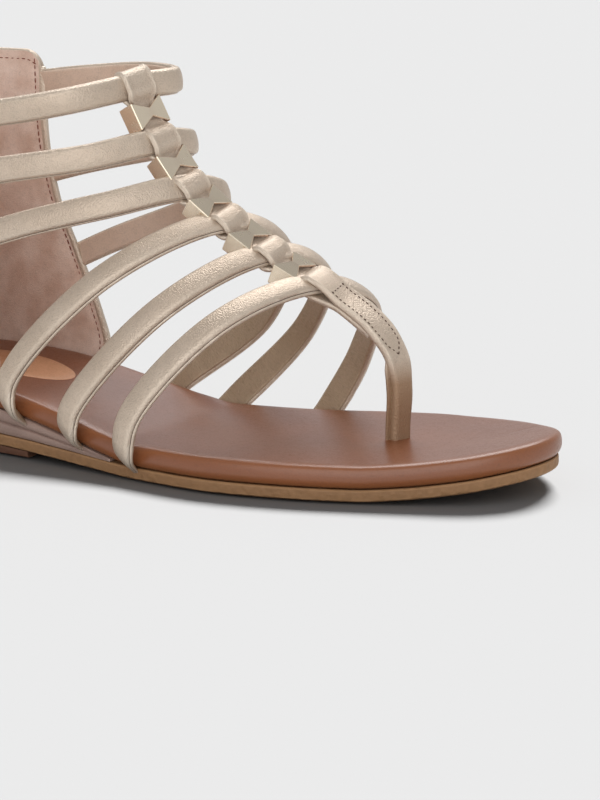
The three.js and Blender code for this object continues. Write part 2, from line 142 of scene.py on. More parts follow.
plan = flowing(
    [(0, HEEL_CENTRE)] + [(x, outer) for x, outer, inner in PLAN] + [(SOLE_LENGTH, TOE_CENTRE)]
    + [(x, inner) for x, outer, inner in PLAN[::-1]],
    30, closed=True,
)
heel_back, toe_tip = plan[:, 0].min(), plan[:, 0].max()
turn = int(plan[:, 0].argmax())
outer_edge, inner_edge = plan[: turn + 1], plan[turn:][::-1]
insole_low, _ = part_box("insole")
SHIFT = np.array([
    insole_low.x / MM - FIRST_STATION - heel_back,
    insole_low.y / MM - plan[:, 1].min(),
    0,
])


def edge_at(x, side):
    edge = outer_edge if side < 0 else inner_edge
    return np.interp(x, edge[:, 0], edge[:, 1])


def lift(x):
    return read(PROFILE, 1, x)


def outsole_top(x):
    return lift(x) + OUTSOLE_THICKNESS


def footbed_underside(x):
    return outsole_top(x) + read(PROFILE, 2, x)


print("shoe frame to row frame, mm:", SHIFT.round(2))

# %% [markdown]
# ## Camera
# A long lens from low in front of the outer side, the way a catalogue shows one shoe. The camera is made first
# because everything after it is judged through it.

# %% Camera
CAMERA_AZIMUTH = np.radians(28)
CAMERA_ELEVATION = np.radians(12.17)
CAMERA_DISTANCE = 900
CAMERA_TARGET = np.array([164.91, 0, 21.2])
CAMERA_LENS = 128.14
SENSOR_WIDTH = 36


def added(name, data):
    """A new object in the scene."""
    made = bpy.data.objects.new(name, data)
    bpy.context.scene.collection.objects.link(made)
    return made


def added_mesh(name, points, edges, faces):
    mesh = bpy.data.meshes.new(name)
    mesh.from_pydata(points, edges, faces)
    return added(name, mesh)


back = np.array([
    np.sin(CAMERA_AZIMUTH) * np.cos(CAMERA_ELEVATION),
    -np.cos(CAMERA_AZIMUTH) * np.cos(CAMERA_ELEVATION),
    np.sin(CAMERA_ELEVATION),
])
camera = added("camera", bpy.data.cameras.new("camera"))
camera.data.lens = CAMERA_LENS
camera.data.sensor_width = SENSOR_WIDTH
camera.data.clip_start, camera.data.clip_end = 0.05, 30
camera.location = Vector((CAMERA_TARGET + SHIFT + back * CAMERA_DISTANCE) * MM)
camera.rotation_mode = "QUATERNION"
camera.rotation_quaternion = Vector(-back).to_track_quat("-Z", "Y")
bpy.context.scene.camera = camera
print("camera at, metres:", [round(v, 3) for v in camera.location])

# %% [markdown]
# ## Effects that several finishes share
# Leather is never one flat colour: it has a fine pebble, cloudy colour, and worn edges, which are also painted lighter
# as a highlight. Each effect is a node group that is built once and gives out only a height, a mask or a colour, so
# that every finish can place it with its own sizes. The shader itself stays in the material.

# %% Node helpers
def sockets(group, inputs, outputs):
    for name, kind, default in inputs:
        made = group.interface.new_socket(name, in_out="INPUT", socket_type=kind)
        if default is not None:
            made.default_value = default
    for name, kind in outputs:
        group.interface.new_socket(name, in_out="OUTPUT", socket_type=kind)


def node(tree, kind, values=None, **settings):
    made = tree.nodes.new(kind)
    for key, value in settings.items():
        setattr(made, key, value)
    for key, value in (values or {}).items():
        if isinstance(value, bpy.types.NodeSocket):
            tree.links.new(value, made.inputs[key])
        else:
            made.inputs[key].default_value = value
    return made


def shader_group(name, inputs, outputs):
    group = bpy.data.node_groups.new(name, "ShaderNodeTree")
    sockets(group, inputs, outputs)
    return group, group.nodes.new("NodeGroupInput").outputs, group.nodes.new("NodeGroupOutput").inputs


def maths(tree, operation, a, b):
    return node(tree, "ShaderNodeMath", {0: a, 1: b}, operation=operation).outputs[0]


def mix(tree, share, first, second, **settings):
    """A colour on the way from the first to the second."""
    return node(tree, "ShaderNodeMix", {0: share, 6: first, 7: second}, data_type="RGBA", **settings).outputs[2]


def ranged(tree, value, low, high, start, end):
    """Start where the value is low, end where it is high."""
    return node(tree, "ShaderNodeMapRange", {0: value, 1: low, 2: high, 3: start, 4: end}).outputs[0]


print("node helpers ready")

# %% Group: pebbled leather grain
PEBBLE_SWAY = 0.0006  # metres that a pebble may lie off its plain place
grain, given, result = shader_group(
    "leather_grain",
    [("Vector", "NodeSocketVector", None), ("Pebbles", "NodeSocketFloat", 1200.0),
     ("Wrinkles", "NodeSocketFloat", 0.3)],
    [("Height", "NodeSocketFloat"), ("Valley", "NodeSocketFloat")],
)
place = given["Vector"]
sway = node(grain, "ShaderNodeTexNoise", {"Vector": place, "Scale": 900.0, "Detail": 2.0}).outputs["Color"]
swayed = node(grain, "ShaderNodeVectorMath", {0: sway, "Scale": PEBBLE_SWAY}, operation="SCALE").outputs[0]
moved = node(grain, "ShaderNodeVectorMath", {0: place, 1: swayed}, operation="ADD").outputs[0]
cells = node(grain, "ShaderNodeTexVoronoi", {"Vector": moved, "Scale": given["Pebbles"]}, feature="SMOOTH_F1")
fine = node(grain, "ShaderNodeTexNoise", {"Vector": place, "Scale": 420.0, "Detail": 5.0, "Roughness": 0.6})
dome = maths(grain, "SUBTRACT", 1.0, cells.outputs["Distance"])
soft = maths(grain, "MULTIPLY", fine.outputs["Fac"], given["Wrinkles"])
grain.links.new(maths(grain, "ADD", dome, soft), result["Height"])
grain.links.new(maths(grain, "MULTIPLY", cells.outputs["Distance"], fine.outputs["Fac"]), result["Valley"])
print("group:", grain.name)

# %% Group: cloudy colour
clouds, given, result = shader_group(
    "cloudy_colour",
    [("Vector", "NodeSocketVector", None), ("Size", "NodeSocketFloat", 60.0),
     ("Light", "NodeSocketColor", (1, 1, 1, 1)), ("Dark", "NodeSocketColor", (0, 0, 0, 1)),
     ("Contrast", "NodeSocketFloat", 0.5)],
    [("Color", "NodeSocketColor"), ("Mask", "NodeSocketFloat")],
)
cloud = node(clouds, "ShaderNodeTexNoise", {"Vector": given["Vector"], "Scale": given["Size"], "Detail": 4.0})
centred = maths(clouds, "SUBTRACT", cloud.outputs["Fac"], 0.5)
spread = maths(clouds, "ADD", maths(clouds, "MULTIPLY", centred, given["Contrast"]), 0.5)
held = node(clouds, "ShaderNodeClamp", {0: spread}).outputs[0]
clouds.links.new(mix(clouds, held, given["Dark"], given["Light"]), result["Color"])
clouds.links.new(held, result["Mask"])
print("group:", clouds.name)

# %% Group: worn edges, lightened partly as painted highlight
# painted highlight: convex edges, found by pointiness, are lightened; partly worn edges, partly a painted highlight on
# the rims
FLAT_POINTINESS = 0.5
WORN_AND_LIT_POINTINESS = 0.58
rubbed_and_lit, given, result = shader_group(
    "rubbed_and_lit_edges", [("Radius", "NodeSocketFloat", 0.5)], [("Mask", "NodeSocketFloat")],
)
shape = node(rubbed_and_lit, "ShaderNodeNewGeometry")
ramp = ranged(rubbed_and_lit, shape.outputs["Pointiness"], FLAT_POINTINESS, WORN_AND_LIT_POINTINESS, 0.0, 1.0)
rubbed_and_lit.links.new(maths(rubbed_and_lit, "MULTIPLY", ramp, given["Radius"]), result["Mask"])
print("group:", rubbed_and_lit.name)

# %% Finish helper
VALLEY_SHADE = 0.78
VALLEY_ROUGHNESS = 0.2
# how far the rims are lightened: partly worn edges, partly painted highlight
EDGE_WEAR_AND_HIGHLIGHT = 0.8
GRAIN_RISE = 0.0004  # metres


def placed(tree, group, **values):
    return node(tree, "ShaderNodeGroup", values, node_tree=group).outputs


def rgb(hex_code):
    """Linear colour from a dyer's hex code."""
    parts = [int(hex_code[i : i + 2], 16) / 255 for i in (0, 2, 4)]
    return tuple(c / 12.92 if c <= 0.04045 else ((c + 0.055) / 1.055) ** 2.4 for c in parts) + (1.0,)


def finish_of(name, light, dark, roughness, pebbles=1200.0, wrinkles=0.3, depth=0.12, cloud_size=60.0,
              contrast=1.2, wear_and_highlight=None, stretch=None, low=None, **shader_values):
    """A finish: cloudy colour, grain in the bump and roughness, and paler rims, partly worn edges and partly a painted
    highlight. Returns the material.
    `low` is a colour that takes over below a height: colour, fully below, not at all above (mm)."""
    made = bpy.data.materials.new(name)
    made.use_nodes = True
    tree = made.node_tree
    tree.nodes.clear()
    place = node(tree, "ShaderNodeTexCoord").outputs["Object"]
    shader = node(tree, "ShaderNodeBsdfPrincipled")
    node(tree, "ShaderNodeOutputMaterial", {"Surface": shader.outputs[0]}).location.x = 400
    colour = placed(
        tree, clouds, Vector=place, Size=cloud_size, Light=rgb(light), Dark=rgb(dark), Contrast=contrast)
    pattern = place
    if stretch:
        along = node(tree, "ShaderNodeTexCoord").outputs["UV"]
        pattern = node(tree, "ShaderNodeMapping", {"Vector": along, "Scale": [v * MM for v in stretch]}).outputs[0]
    skin_grain = placed(tree, grain, Vector=pattern, Pebbles=pebbles, Wrinkles=wrinkles)
    valley = ranged(tree, skin_grain["Valley"], 0.1, 0.55, 1.0, VALLEY_SHADE)
    base = mix(tree, 1.0, colour["Color"], valley, blend_type="MULTIPLY")
    # the rims are pulled towards a paler colour: partly worn edges, partly painted highlight
    if wear_and_highlight:
        base = mix(tree, placed(tree, rubbed_and_lit, Radius=EDGE_WEAR_AND_HIGHLIGHT)["Mask"], base, rgb(wear_and_highlight))
    if low:
        low_colour, below, above = low
        height = node(tree, "ShaderNodeSeparateXYZ", {0: place}).outputs["Z"]
        base = mix(tree, ranged(tree, height, below * MM, above * MM, 1.0, 0.0), base, rgb(low_colour))
    tree.links.new(base, shader.inputs["Base Color"])
    matt = ranged(tree, skin_grain["Valley"], 0.0, 0.6, roughness, roughness + VALLEY_ROUGHNESS)
    tree.links.new(matt, shader.inputs["Roughness"])
    bump = node(tree, "ShaderNodeBump", {"Strength": depth, "Distance": GRAIN_RISE, "Height": skin_grain["Height"]})
    tree.links.new(bump.outputs[0], shader.inputs["Normal"])
    for socket, value in shader_values.items():
        shader.inputs[socket.replace("_", " ")].default_value = value
    return made


print("finish helper ready")

# %% [markdown]
# ## Finishes
# The upper is a champagne leather with a metallic coat over a fine pebble. Half of the shine is metal, so it is
# bright where the light falls and warm brown in the folds. The footbed is smooth saddle leather with a waxed
# shine, the lining a short suede nap, and the sole rubber has a cut edge. The rims of each finish are painted
# paler, partly as dust and worn edges and partly as a painted highlight; on the studs this is a painted glint.

# %% Leather finishes
# each finish's pale rim colour is partly worn edge and partly painted highlight
gold_leather = finish_of(
    "gold_leather", "d6c5b3", "c1ad99", 0.34, pebbles=2300.0, wrinkles=0.15, depth=0.5, contrast=1.0, wear_and_highlight="e2d5c4",
    Metallic=0.5, Specular_IOR_Level=0.5,
)
band_leather = finish_of(
    "band_leather", "d7c6b4", "c2ae9a", 0.36, pebbles=2400.0, wrinkles=0.15, depth=0.5, contrast=1.0, wear_and_highlight="e2d5c4",
    low=("a4866b", 29.0, 37.0), Metallic=0.45, Specular_IOR_Level=0.5,
)
# painted shade: the back of straps 4 to 6 is the face leather painted a little darker, as the shaded inner side; its
# stretched grain is the leather's own back
gold_back_shaded = finish_of(
    "gold_leather_back_shaded", "cfbaa0", "b59f84", 0.4, pebbles=1500.0, wrinkles=0.5, depth=0.6, contrast=1.3,
    stretch=(2.2, 0.75, 1.0), Metallic=0.5,
)
lining_leather = finish_of(
    "lining_leather", "e3ccba", "d0b5a0", 0.5, pebbles=2300.0, wrinkles=0.3, depth=0.2, contrast=1.2, Metallic=0.15,
)
# painted shade: a dark layer fills the groove between a strap's face and its roll
seam_groove_shade = finish_of("seam_groove_shade", "5b4638", "3d2d24", 0.75, pebbles=1500.0, depth=0.3)
footbed_leather = finish_of(
    "footbed_leather", "8b4f2c", "774022", 0.27, pebbles=2000.0, wrinkles=0.5, depth=0.08, cloud_size=22.0,
    contrast=1.6, wear_and_highlight="a06a42", Specular_IOR_Level=0.7,
)
patch_leather = finish_of("patch_leather", "d39b73", "c88f68", 0.4, pebbles=1900.0, depth=0.1, Specular_IOR_Level=0.5)
wedge_leather = finish_of(
    "wedge_leather", "9a8075", "836a60", 0.42, pebbles=1600.0, depth=0.22, cloud_size=90.0, wear_and_highlight="b39a8e",
)
suede = finish_of(
    "suede_lining", "ecd5c7", "cfad9a", 0.85, pebbles=2800.0, wrinkles=1.2, depth=0.4, cloud_size=130.0,
    contrast=2.2, Sheen_Weight=0.5, Sheen_Roughness=0.5, Sheen_Tint=(0.95, 0.82, 0.74, 1.0),
)
thread = finish_of("thread", "5c4334", "473226", 0.6, pebbles=2600.0, depth=0.4)
pale_thread = finish_of("pale_thread", "b39a7c", "96805f", 0.55, pebbles=2600.0, depth=0.4)
lining_thread = finish_of("lining_thread", "8d4f3c", "7a3f30", 0.6, pebbles=2600.0, depth=0.4)
print("leather finishes:", gold_leather.name, footbed_leather.name, suede.name)

# %% Rubber and metal finishes
# the rubber's paler rims are partly dust on the cut edge and partly painted highlight
outsole_rubber = finish_of(
    "outsole_rubber", "8f6843", "7d5a39", 0.6, pebbles=700.0, wrinkles=1.4, depth=0.6, cloud_size=300.0,
    contrast=1.6, wear_and_highlight="b98f66",
)
heel_rubber = finish_of("heel_rubber", "5c3a2a", "462b20", 0.55, pebbles=600.0, wrinkles=1.2, depth=0.5, wear_and_highlight="74503c")
# the studs' rims go nearly white: a painted glint on the metal edges
stud_metal = finish_of(
    "stud_metal", "f4dccb", "e8cdb8", 0.16, pebbles=300.0, wrinkles=0.3, depth=0.0, cloud_size=200.0, wear_and_highlight="fff2d8",
    Metallic=0.82,
)
print("finishes in all:", len(bpy.data.materials))

# %% [markdown]
# ## Floor and light
# A studio lights the shoe and the floor apart. Here a soft key from above and behind and a weak fill from in front
# light the shoe alone, and a third light reaches only the floor, where only the sole casts its short, soft shadow.
# Light linking does this: each light has a collection of what it lights, and may have one of what blocks it. The
# studs are left out of the key, which would bleach them. The dome, brighter low down than overhead, gives the metal
# something to reflect, and past the floor the camera sees a plain backdrop.

# %% Floor
FLOOR_SIZE = 5.0
FLOOR_LEVEL = -0.0007
FLOOR_COLOUR = (0.3, 0.3, 0.3, 1)
corners = [(x * FLOOR_SIZE, y * FLOOR_SIZE, FLOOR_LEVEL) for x, y in ((-1, -1), (1, -1), (1, 1), (-1, 1))]
floor = added_mesh("floor", corners, [], [(0, 1, 2, 3)])
floor_finish = bpy.data.materials.new("floor")
floor_finish.use_nodes = True
floor_shader = floor_finish.node_tree.nodes["Principled BSDF"]
floor_shader.inputs["Base Color"].default_value = FLOOR_COLOUR
floor_shader.inputs["Roughness"].default_value = 0.95
floor_shader.inputs["Specular IOR Level"].default_value = 0.0
floor.data.materials.append(floor_finish)
print("floor:", 2 * FLOOR_SIZE, "m square")

# %% Light
floor_alone, all_but_floor, leather_and_soles, sole_pieces = (
    bpy.data.collections.new(name) for name in ("floor_alone", "all_but_floor", "leather_and_soles", "sole_pieces")
)


def leave_out(group, made):
    """Everything but this object, and others left out, is in the group."""
    group.objects.link(made)
    group.collection_objects[-1].light_linking.link_state = "EXCLUDE"


floor_alone.objects.link(floor)
leave_out(all_but_floor, floor)
leave_out(leather_and_soles, floor)
LIGHTS = [  # name, strength, comes from, width in degrees, what it lights, what casts a shadow (None: everything)
    ("key", 2.0, (-0.25, 0.62, 1.0), 46, leather_and_soles, None),
    ("fill", 1.35, (0.45, -1.0, 0.45), 70, all_but_floor, None),
    ("floor_light", 10.65, (-0.15, 1.0, 1.0), 22, floor_alone, sole_pieces),
]
for name, strength, comes_from, width, lit, blocking in LIGHTS:
    sun = added(name, bpy.data.lights.new(name, "SUN"))
    sun.data.energy = strength
    sun.data.angle = np.radians(width)
    sun.rotation_euler = Vector(comes_from).to_track_quat("Z", "Y").to_euler()
    sun.light_linking.receiver_collection = lit
    sun.light_linking.blocker_collection = blocking
print("lights:", [name for name, *_ in LIGHTS])

# %% Dome and backdrop
DOME_STRENGTH = 0.45
BACKDROP = 0.83
DOME_BANDS = [(0.0, (1.5, 1.5, 1.5, 1)), (0.35, (1.1, 1.1, 1.11, 1)), (1.0, (0.6, 0.6, 0.61, 1))]  # height, colour
world = bpy.data.worlds.new("dome")
world.use_nodes = True
bpy.context.scene.world = world
dome_tree = world.node_tree
direction = node(dome_tree, "ShaderNodeTexCoord").outputs["Generated"]
height = node(dome_tree, "ShaderNodeSeparateXYZ", {0: direction}).outputs["Z"]
bands = node(dome_tree, "ShaderNodeValToRGB", {0: height})
bands.color_ramp.elements.new(0.5)
for stop, (place, colour) in zip(bands.color_ramp.elements, DOME_BANDS):
    stop.position, stop.color = place, colour
sky = dome_tree.nodes["Background"]
sky.inputs["Strength"].default_value = DOME_STRENGTH
seen_directly = node(dome_tree, "ShaderNodeLightPath").outputs["Is Camera Ray"]
backdrop = (BACKDROP / DOME_STRENGTH,) * 3 + (1,)
dome_tree.links.new(mix(dome_tree, seen_directly, bands.outputs["Color"], backdrop), sky.inputs["Color"])
bpy.context.scene.view_settings.view_transform = "Standard"
print("dome strength:", DOME_STRENGTH)

# %% [markdown]
# ## From rings to a skin
# Almost every piece of a shoe is a skin stretched over a row of outlines, as a last is. `piece` takes one or more
# such rows of rings, joins neighbours with quads, closes the two ends, turns the faces outwards and gives every
# corner a texture place in millimetres along and around the skin.

# %% Skin builder
SMOOTH_BELOW = 40  # degrees between faces, past which an edge stays sharp


def shell(rings, material=0, pick=None, capped=True, looped=False, ladder=None):
    """Rings and how to skin them. `pick` gives a face's material from its row and side. `ladder` closes the ends
    with rungs: point i is joined to point ladder - i."""
    pick = pick or (lambda row, side: material)
    return dict(rings=np.asarray(rings, float), pick=pick, capped=capped, looped=looped, ladder=ladder)


def end_faces(sides, ladder):
    """Faces that close one ring, as indices in that ring."""
    if ladder is None:
        return [tuple(range(sides))]
    rungs, i = [], 0
    while ladder - i - 1 > i + 1:
        rungs.append((i, i + 1, ladder - i - 1, ladder - i))
        i += 1
    if ladder - i - 1 == i + 1:
        rungs.append((i, i + 1, ladder - i))
    if ladder + 1 < sides:
        rungs.append(tuple(range(ladder, sides)) + (0,))
    return rungs


def signed_volume(points, faces):
    return sum(
        np.dot(points[f[0]], np.cross(points[f[i]], points[f[i + 1]])) for f in faces for i in range(1, len(f) - 1)
    )


def shell_faces(part):
    """Faces turned outwards, their materials and their texture places for one shell."""
    rings, (count, sides) = part["rings"], part["rings"].shape[:2]
    spans = count if part["looped"] else count - 1
    centres = rings.mean(axis=1)
    along = distances(centres)
    along = np.append(along, along[-1] + 1)
    wide = rings[count // 2]
    around = distances(np.vstack([wide, wide[:1]]))
    faces, stuff, places = [], [], []
    for k in range(spans):
        n = (k + 1) % count
        for i in range(sides):
            j = (i + 1) % sides
            faces.append((k * sides + i, k * sides + j, n * sides + j, n * sides + i))
            stuff.append(part["pick"](k, i))
            near, far = along[k], along[k + 1]
            places.append([(near, around[i]), (near, around[i + 1]), (far, around[i + 1]), (far, around[i])])
    if part["capped"]:
        for k, turned in ((0, -1), (count - 1, 1)):
            for end in end_faces(sides, part["ladder"]):
                faces.append(tuple(k * sides + i for i in end[::turned]))
                stuff.append(part["pick"](min(k, spans - 1), 0))
                places.append([(rings[k][i][0], rings[k][i][1]) for i in end[::turned]])
    points = rings.reshape(-1, 3)
    if signed_volume(points - points.mean(axis=0), faces) < 0:
        faces, places = [f[::-1] for f in faces], [p[::-1] for p in places]
    return faces, stuff, places


def piece(name, shells, materials, replaced=()):
    """One object from its shells, placed in the row frame, riding on the shoe."""
    points, faces, stuff, places = [], [], [], []
    for part in shells:
        own_faces, own_stuff, own_places = shell_faces(part)
        start = len(points)
        points += list((part["rings"].reshape(-1, 3) + SHIFT) * MM)
        faces += [tuple(start + i for i in f) for f in own_faces]
        stuff += own_stuff
        places += [place for face in own_places for place in face]
    made = added_mesh(name, points, [], faces)
    mesh = made.data
    for material in materials:
        mesh.materials.append(material)
    mesh.polygons.foreach_set("material_index", stuff)
    mesh.uv_layers.new(name="millimetres").uv.foreach_set("vector", np.array(places).ravel())
    mesh.shade_smooth()
    mesh.set_sharp_from_angle(angle=np.radians(SMOOTH_BELOW))
    mesh.update()
    return settle(made, replaced)


def settle(made, replaced=()):
    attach(made, "root")
    if replaced:
        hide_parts(*replaced)
    print(made.name, "faces:", len(made.data.polygons))
    return made


print("skin builder ready")

# %% [markdown]
# ## Sole
# From the ground up: a low heel block, a thin rubber outsole with a cut edge, a leather-wrapped wedge from the heel
# to the arch, and the padded footbed. All four share one plan outline, each set in by its own amount, so they are
# rows of the same loop at different heights.

# %% Sole outline
STATIONS = 220


def foot_loop(end):
    """Closed loop round the sole from the heel to `end`: forward on the outer edge, back on the inner one."""
    angle = (np.arange(STATIONS) + 0.5) / STATIONS * np.pi
    if end < toe_tip:
        x = heel_back + (end - heel_back) * (1 - np.cos(angle / 2))
    else:
        x = heel_back + (toe_tip - heel_back) * (1 - np.cos(angle)) / 2
    outer = np.stack([x, edge_at(x, -1)], axis=1)
    inner = np.stack([x, edge_at(x, 1)], axis=1)
    return np.vstack([outer, inner[::-1]])


def inset(loop, distance):
    """The loop moved inwards. Each side is taken on its own, so a straight breast keeps its two corners."""
    sides = np.split(loop, 2)
    along = unit(np.vstack([np.gradient(side, axis=0) for side in sides]))
    normals = np.stack([-along[:, 1], along[:, 0]], axis=1)
    return loop + normals * np.reshape(distance, (-1, 1))


def sole_rings(end, rows):
    """Rings of a sole layer. Each row is how far the loop is set in, the surface that it is measured from, and its
    height over that."""
    loop = foot_loop(end)
    rings = []
    for distance, surface_at, over in rows:
        flat = inset(loop, distance(loop[:, 0]) if callable(distance) else distance)
        rings.append(np.column_stack([flat, surface_at(flat[:, 0]) + over]))
    return rings


print("loop points:", len(foot_loop(toe_tip)))

# %% Outsole and heel block
OUTSOLE_INSET = 0.9
HEEL_BREAST = 83
HEEL_INSET = 2.2
UNDER = 6
CUT_DEPTHS = [(2, 0.22), (3, 0.06)]  # row of the edge, how uneven the knife left it
RUNGS = 2 * STATIONS - 1
outsole_rings = sole_rings(toe_tip, [
    (UNDER, lift, 0),
    (OUTSOLE_INSET + 0.9, lift, 0),
    (OUTSOLE_INSET + 0.15, lift, 0.4),
    (OUTSOLE_INSET, lift, 1.2),
    (OUTSOLE_INSET + 0.05, outsole_top, -0.9),
    (OUTSOLE_INSET + 0.1, outsole_top, -0.45),
    (OUTSOLE_INSET + 0.45, outsole_top, -LAYER_GAP),
    (UNDER, outsole_top, -LAYER_GAP),
])
cut = np.random.default_rng(7)
for row, depth in CUT_DEPTHS:
    outsole_rings[row][:, 2] += cut.uniform(0, depth, 2 * STATIONS)
heel_rings = sole_rings(HEEL_BREAST, [
    (HEEL_INSET + 0.7, np.zeros_like, 0),
    (HEEL_INSET + 0.3, np.zeros_like, 0.2),
    (HEEL_INSET, lambda x: lift(x) * 0.5, 0),
    (HEEL_INSET, lift, -2 * LAYER_GAP),
])
outsole_sheet = piece(
    "outsole_rubber_sheet", [shell(outsole_rings, ladder=RUNGS)], [outsole_rubber], ["outsole"],
)
heel_piece = piece(
    "heel_block_rubber", [shell(heel_rings, ladder=RUNGS)], [heel_rubber], ["heel_block"],
)

# %% [markdown]
# ## Wedge
# The wedge is wrapped in leather in two turns, and the wrap shows as two soft rolls with a groove between them. The
# rolls are rings that swell and pull in again on the way up.

# %% Wedge
WEDGE_END = 119
WEDGE_INSET = 0.9
WEDGE_ROLLS = [  # share of the height, set in
    (0.0, 1.3), (0.03, 1.0), (0.15, 0.75), (0.3, 0.72), (0.42, 0.85), (0.47, 1.15), (0.5, 1.35), (0.53, 1.15),
    (0.6, 0.8), (0.72, 0.65), (0.86, 0.75), (0.95, 1.0), (1.0, 1.4),
]


def wedge_height(share):
    return lambda x: outsole_top(x) + LAYER_GAP + share * (footbed_underside(x) - outsole_top(x) - 2 * LAYER_GAP)


def roll_inset(distance):
    """The rolls die out where the wedge gets thin."""
    return lambda x: WEDGE_INSET + (distance - WEDGE_INSET) * smooth(footbed_underside(x) - outsole_top(x), 1.5, 6)


wedge_rings = sole_rings(WEDGE_END, [(roll_inset(distance), wedge_height(share), 0) for share, distance in WEDGE_ROLLS])
wedge_piece = piece(
    "wedge_wrap", [shell(wedge_rings, ladder=RUNGS)], [wedge_leather], ["midsole_wedge"],
)

# %% [markdown]
# ## Footbed
# A foam pad wrapped in smooth leather. The wrap rounds over the edge, and the top is not flat: it dishes a little
# under the heel and the ball, and a few shallow creases run in from the edge where the wrap was pulled. The rings
# go on from the edge to the middle line, so the whole skin is one closed surface.

# %% Footbed skin
FOOTBED_EDGE = [  # set in, height over the underside
    (2.4, 0.0), (1.3, 0.35), (0.6, 1.0), (0.15, 2.0), (0.0, 3.0), (0.05, 4.0), (0.18, 4.9), (0.42, 5.7),
    (0.8, 6.3), (1.3, 6.7), (1.9, 6.93), (2.7, 7.05), (3.8, 7.08), (5.2, 7.05), (7.0, 7.0),
]
PRESSED = [  # along, across, length, width, depth of a hollow in the pad
    (42, -2, 30, 20, 0.5), (180, 2, 26, 30, 0.45), (225, 12, 10, 12, 0.25),
]
PULLED = [  # along, across, direction in degrees, length, width, depth of a crease
    (96, -27, 70, 7, 1.1, 0.16), (123, -31, 84, 8, 1.2, 0.18), (146, -34, 96, 7, 1.1, 0.16),
    (197, 0.5, 10, 8, 1.5, 0.2), (192, 14, 150, 9, 1.4, 0.14), (210, -10, 40, 8, 1.5, 0.12),
    (70, 18, 110, 8, 1.3, 0.14), (232, 22, 60, 7, 1.2, 0.12),
]
INNER_SHARES = (0.08, 0.17, 0.27, 0.38, 0.5, 0.62, 0.74, 0.86, 0.96)
END_ROOM = 22


def pad_relief(x, y):
    """How far the pad's top stands above its plain height."""
    rise = 0.35 * bell(y, 0, 34)
    for along, across, length, width, depth in PRESSED:
        rise -= depth * bell(x, along, length) * bell(y, across, width)
    for along, across, degrees, length, width, depth in PULLED:
        c, s = np.cos(np.radians(degrees)), np.sin(np.radians(degrees))
        run = (x - along) * c + (y - across) * s
        off = -(x - along) * s + (y - across) * c
        rise -= depth * bell(run, 0, length) * bell(off, 0, width)
    return rise


def pad_top(x, y):
    return footbed_underside(x) + LAYER_GAP + FOOTBED_EDGE[-1][1] + pad_relief(x, y)


loop = foot_loop(toe_tip)
pad_rings = []
for distance, height_over in FOOTBED_EDGE:
    flat = inset(loop, distance)
    z = footbed_underside(flat[:, 0]) + LAYER_GAP + height_over
    z += pad_relief(*flat.T) * smooth(height_over, 5.5, 7.0) * smooth(distance, 0.5, 6)
    pad_rings.append(np.column_stack([flat, z]))
rim = inset(loop, FOOTBED_EDGE[-1][0])
spine_x = np.clip(rim[:, 0], heel_back + END_ROOM, toe_tip - END_ROOM)
spine_line = np.column_stack([spine_x, (edge_at(spine_x, -1) + edge_at(spine_x, 1)) / 2])
for share in INNER_SHARES:
    flat = rim + (spine_line - rim) * share
    pad_rings.append(np.column_stack([flat, pad_top(*flat.T)]))
footbed = piece("footbed_wrap", [shell(pad_rings, ladder=RUNGS)], [footbed_leather], ["insole"])

# %% Oval heel patch
PATCH_CENTRE = (54, -3.5)
PATCH_REACH = (28, 14)
PATCH_RISE = 0.22
PATCH_ROWS = [(1.0, -0.3), (1.0, 0.1)] + [(share, PATCH_RISE) for share in (0.985, 0.8, 0.5, 0.15)]
angles = np.linspace(0, 2 * np.pi, 72, endpoint=False)
patch_rings = []
for grow, rise in PATCH_ROWS:
    x = PATCH_CENTRE[0] + PATCH_REACH[0] * grow * np.cos(angles)
    y = PATCH_CENTRE[1] + PATCH_REACH[1] * grow * np.sin(angles)
    patch_rings.append(np.column_stack([x, y, pad_top(x, y) + rise]))
piece("heel_patch", [shell(patch_rings)], [patch_leather])
for made in (outsole_sheet, heel_piece, wedge_piece, footbed):
    sole_pieces.objects.link(made)

# %% [markdown]
# ## Sweeping a band
# A strap is a flat tube that follows a path over the foot. `ribbon` carries one outline along a path: at each stop it
# knows the middle, the direction across, the width and the thickness, so one function serves the straps, the band
# on the instep and the post.

# %% Band sweep
CORNER_STEPS = 4
FLAT_STEPS = 14


def outline(width, thickness, rounding, lip=0.0, crown=0.0):
    """Closed outline of a flat band: across and out, counter-clockwise, with its edges rounded and rolled."""
    r = min(rounding, thickness / 2, width / 2)
    w, t = width / 2 - r, thickness / 2 - r
    points = []
    for quarter, (cx, cy) in enumerate([(w, t), (-w, t), (-w, -t), (w, -t)]):
        for step in range(CORNER_STEPS + 1):
            a = np.pi / 2 * (quarter + step / CORNER_STEPS)
            points.append((cx + r * np.cos(a), cy + r * np.sin(a)))
        if quarter in (0, 2):
            side = 1 if quarter == 0 else -1
            for step in range(1, FLAT_STEPS):
                points.append((side * w * (1 - 2 * step / FLAT_STEPS), side * (t + r)))
    points = np.array(points)
    upper = points[:, 1] > 0
    points[:, 1] += lip * upper * bell(np.abs(points[:, 0]), width / 2 - 0.95, 0.5)
    points[:, 1] += crown * upper * (1 - (2 * points[:, 0] / width) ** 2)
    return points


def frames(path, across, outwards):
    """Unit vectors across and out at each point of a path."""
    along = unit(np.gradient(path, axis=0))
    across = square_to(along, across)
    out = np.cross(along, across)
    return across, out * np.sign(np.sum(out * outwards, axis=1, keepdims=True))


def ribbon(path, across, out, sections, offset=0.0):
    """Rings of a band: every section is laid across and out of its own point of the path."""
    rings = []
    for p, a, o, section, off in zip(path, across, out, sections, np.broadcast_to(offset, len(path))):
        rings.append(p + np.outer(section[:, 0], a) + np.outer(section[:, 1] + off, o))
    return rings


print("points in a band outline:", len(outline(9.6, 1.6, 0.7)))
